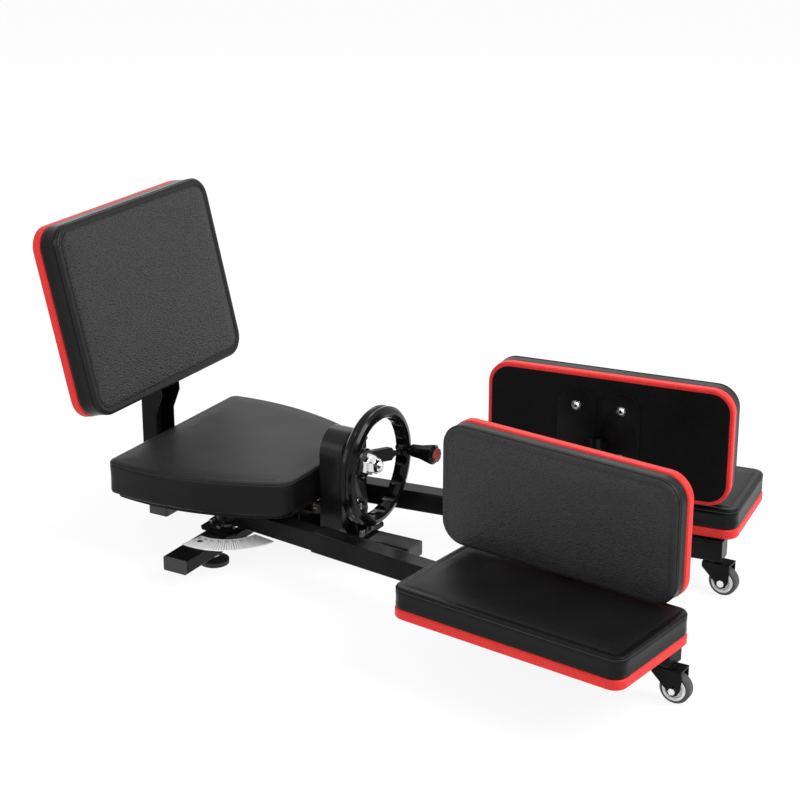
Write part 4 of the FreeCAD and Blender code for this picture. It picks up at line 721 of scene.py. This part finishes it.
LOWER_HALF = (440.0 / 2, 223.0 / 2)
LOWER_SIDE = 33.0
UPPER_HALF = (456.0 / 2, 218.0 / 2)
UPPER_SIDE = 24.5


def lower_place(side):
    """Axes of a lower pad: its board's underside, X along the leg, Z up."""
    node = "lower_board_" + SIDES[side]
    middle = node_middle(node)
    low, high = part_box(node)
    along = LEG_AXIS[side]
    return axes_matrix(Vector((middle.x, middle.y, low.z)), along, UP.cross(along), UP)


def upright_place(side):
    """Axes of an upright pad: the back of its board, X along the leg, Z outward."""
    node = "upright_board_" + SIDES[side]
    middle = node_middle(node)
    along = LEG_AXIS[side]
    outward = Vector((-along.y, along.x, 0)) * side
    origin = middle - outward * BOARD_THICKNESS / 2 * MM
    return axes_matrix(origin, along, outward.cross(along), outward)


def make_pads():
    outline = rounded_rectangle(*BACK_HALF, PAD_CORNER)
    place = back_place()
    make_cushion("backrest_pad", "back_cushion", outline, BOARD_THICKNESS, BACK_SIDE, place, LIT_BACK_LEATHER, "frame", 3.0)
    back_panel("backrest_panel", *BACK_HALF, PAD_CORNER, place, "frame")
    for side, word in SIDES.items():
        outline = rounded_rectangle(*LOWER_HALF, LOWER_CORNER)
        place = lower_place(side)
        make_cushion("lower_pad_" + word, "lower_cushion_" + word, outline, BOARD_THICKNESS, LOWER_SIDE, place,
                     SHADED_LOWER_LEATHER, "leg_" + word, 7.0 * side, 0.45)
        back_panel("lower_panel_" + word, *LOWER_HALF, LOWER_CORNER, place, "leg_" + word)
        outline = rounded_rectangle(*UPPER_HALF, PAD_CORNER)
        place = upright_place(side)
        make_cushion("upright_pad_" + word, "upright_cushion_" + word, outline, BOARD_THICKNESS, UPPER_SIDE, place,
                     BLACK_LEATHER, "upright_" + word, 11.0 * side, 0.2)
        back_panel("upright_panel_" + word, *UPPER_HALF, PAD_CORNER, place, "upright_" + word)
    seat_low, seat_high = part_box("seat_cushion")
    place = axes_matrix(local(0, 0, 0), Vector((1, 0, 0)), Vector((0, 1, 0)), UP)
    base = seat_low.z / MM
    depth = (seat_high.z - seat_low.z) / MM - CROWN
    make_cushion("seat_pad", "seat_cushion", seat_outline(), base, depth, place, SEAT_LEATHER, "frame", 5.0, 0.15)


# Protractors
def polar(radius, degrees, pivot_y, side, height):
    angle = math.radians(degrees)
    return local(radius * math.cos(angle), side * (pivot_y + radius * math.sin(angle)), height)


PIVOT_Y = (PIVOT_LEFT.y - PIVOT_RIGHT.y) / 2 / MM


def make_ticks(side):
    """Raised ticks on a protractor, longer every ten degrees."""
    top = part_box("protractors")[1].z / MM
    verts = []
    faces = []
    for step in range(int((SCALE_SWEEP - 4.0) / TICK_STEP) + 1):
        degrees = -(SCALE_START + 2.0 + TICK_STEP * step)
        major = step % 4 == 0
        inner = SCALE_INNER + (4.0 if major else 16.0)
        outer = SCALE_OUTER - 3.0
        width = 1.1 if major else 0.8
        spread = math.degrees(width / 2 / SCALE_OUTER)
        base = len(verts)
        for height in (top - 0.05, top + 0.12):
            for radius, turn in ((inner, -spread), (outer, -spread), (outer, spread), (inner, spread)):
                verts.append(polar(radius, degrees + turn, PIVOT_Y, side, height))
        faces += [tuple(base + corner for corner in face) for face in (
            (3, 2, 1, 0), (4, 5, 6, 7), (0, 1, 5, 4), (1, 2, 6, 5), (2, 3, 7, 6), (3, 0, 4, 7))]
    mesh = mesh_from("ticks_" + SIDES[side], verts, faces)
    flip_outward(mesh)
    return link("ticks_" + SIDES[side], mesh, SCALE_INK, "frame", smooth=False)


def make_numbers(side):
    """Plain numbers from 0 to 80 by tens beside the long ticks."""
    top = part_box("protractors")[1].z / MM
    for index in range(9):
        degrees = -(SCALE_START + 2.0 + 10.0 * index)
        curve = bpy.data.curves.new("number", "FONT")
        curve.body = str(10 * (8 - index))
        curve.size = 0.0075
        curve.align_x = "CENTER"
        curve.align_y = "CENTER"
        curve.extrude = 0.0001
        text = bpy.data.objects.new("number", curve)
        bpy.context.scene.collection.objects.link(text)
        depsgraph = bpy.context.evaluated_depsgraph_get()
        mesh = bpy.data.meshes.new_from_object(text.evaluated_get(depsgraph))
        bpy.data.objects.remove(text)
        spot = polar(SCALE_INNER + 11.0, degrees - 2.6, PIVOT_Y, side, top + 0.05)
        facing = math.radians(degrees * side) + math.pi / 2
        mesh.transform(Matrix.Translation(spot) @ Matrix.Rotation(facing, 4, "Z"))
        mesh.materials.clear()
        name = "number_{}_{}".format(SIDES[side], 10 * (8 - index))
        link(name, mesh, SCALE_INK, "frame", smooth=False)


# Stage
def seen_ray(nodes, links):
    """One for the rays that show the background: camera, glossy and transmission rays."""
    path = nodes.new("ShaderNodeLightPath")
    total = path.outputs["Is Camera Ray"]
    for kind in ("Is Glossy Ray", "Is Transmission Ray"):
        either = nodes.new("ShaderNodeMath")
        either.operation = "MAXIMUM"
        links.new(total, either.inputs[0])
        links.new(path.outputs[kind], either.inputs[1])
        total = either.outputs[0]
    return total


def make_stage():
    mesh = mesh_from("floor", [(-30, -30, 0), (30, -30, 0), (30, 30, 0), (-30, 30, 0)], [(0, 1, 2, 3)])
    floor = bpy.data.objects.new("floor", mesh)
    bpy.context.scene.collection.objects.link(floor)
    maker = Maker("floor")
    maker.set(Base_Color=(0.90, 0.90, 0.90, 1), Roughness=0.9, Specular_IOR_Level=0.1)
    glow = maker.nodes.new("ShaderNodeEmission")
    glow.inputs["Color"].default_value = (1, 1, 1, 1)
    glow.inputs["Strength"].default_value = 1.04
    share = maker.nodes.new("ShaderNodeMath")
    share.operation = "MULTIPLY"
    share.inputs[1].default_value = 0.86
    maker.links.new(seen_ray(maker.nodes, maker.links), share.inputs[0])
    blend = maker.nodes.new("ShaderNodeMixShader")
    maker.links.new(share.outputs[0], blend.inputs[0])
    maker.links.new(maker.shader.outputs[0], blend.inputs[1])
    maker.links.new(glow.outputs[0], blend.inputs[2])
    maker.links.new(blend.outputs[0], maker.nodes["Material Output"].inputs["Surface"])
    mesh.materials.append(maker.material)


def make_world():
    world = bpy.data.worlds.new("world")
    bpy.context.scene.world = world
    world.use_nodes = True
    nodes = world.node_tree.nodes
    links = world.node_tree.links
    background = nodes["Background"]
    background.inputs["Color"].default_value = (1, 1, 1, 1)
    strength = nodes.new("ShaderNodeMapRange")
    strength.inputs["To Min"].default_value = 0.62
    strength.inputs["To Max"].default_value = 1.0
    links.new(seen_ray(nodes, links), strength.inputs["Value"])
    links.new(strength.outputs["Result"], background.inputs["Strength"])


def make_light(name, place, target, size, power):
    data = bpy.data.lights.new(name, "AREA")
    data.shape = "RECTANGLE"
    data.size, data.size_y = size
    data.energy = power
    light = bpy.data.objects.new(name, data)
    bpy.context.scene.collection.objects.link(light)
    light.location = place
    light.rotation_euler = (Vector(target) - Vector(place)).to_track_quat("-Z", "Y").to_euler()


def make_lights():
    make_light("key", (2.6, 0.2, 2.6), (-0.3, 0, 0.3), (1.8, 1.8), 95)
    make_light("fill", (-1.0, -2.8, 1.9), (0, 0, 0.2), (1.8, 1.4), 26)
    make_light("rim", (-1.6, 3.4, 2.9), (0, 0, 0.2), (3.6, 1.6), 30)


make_camera()
dress_nodes()
make_pads()
for scale_side in SIDES:
    make_ticks(scale_side)
    make_numbers(scale_side)
make_stage()
make_world()
make_lights()
bpy.context.scene.view_settings.view_transform = "Standard"
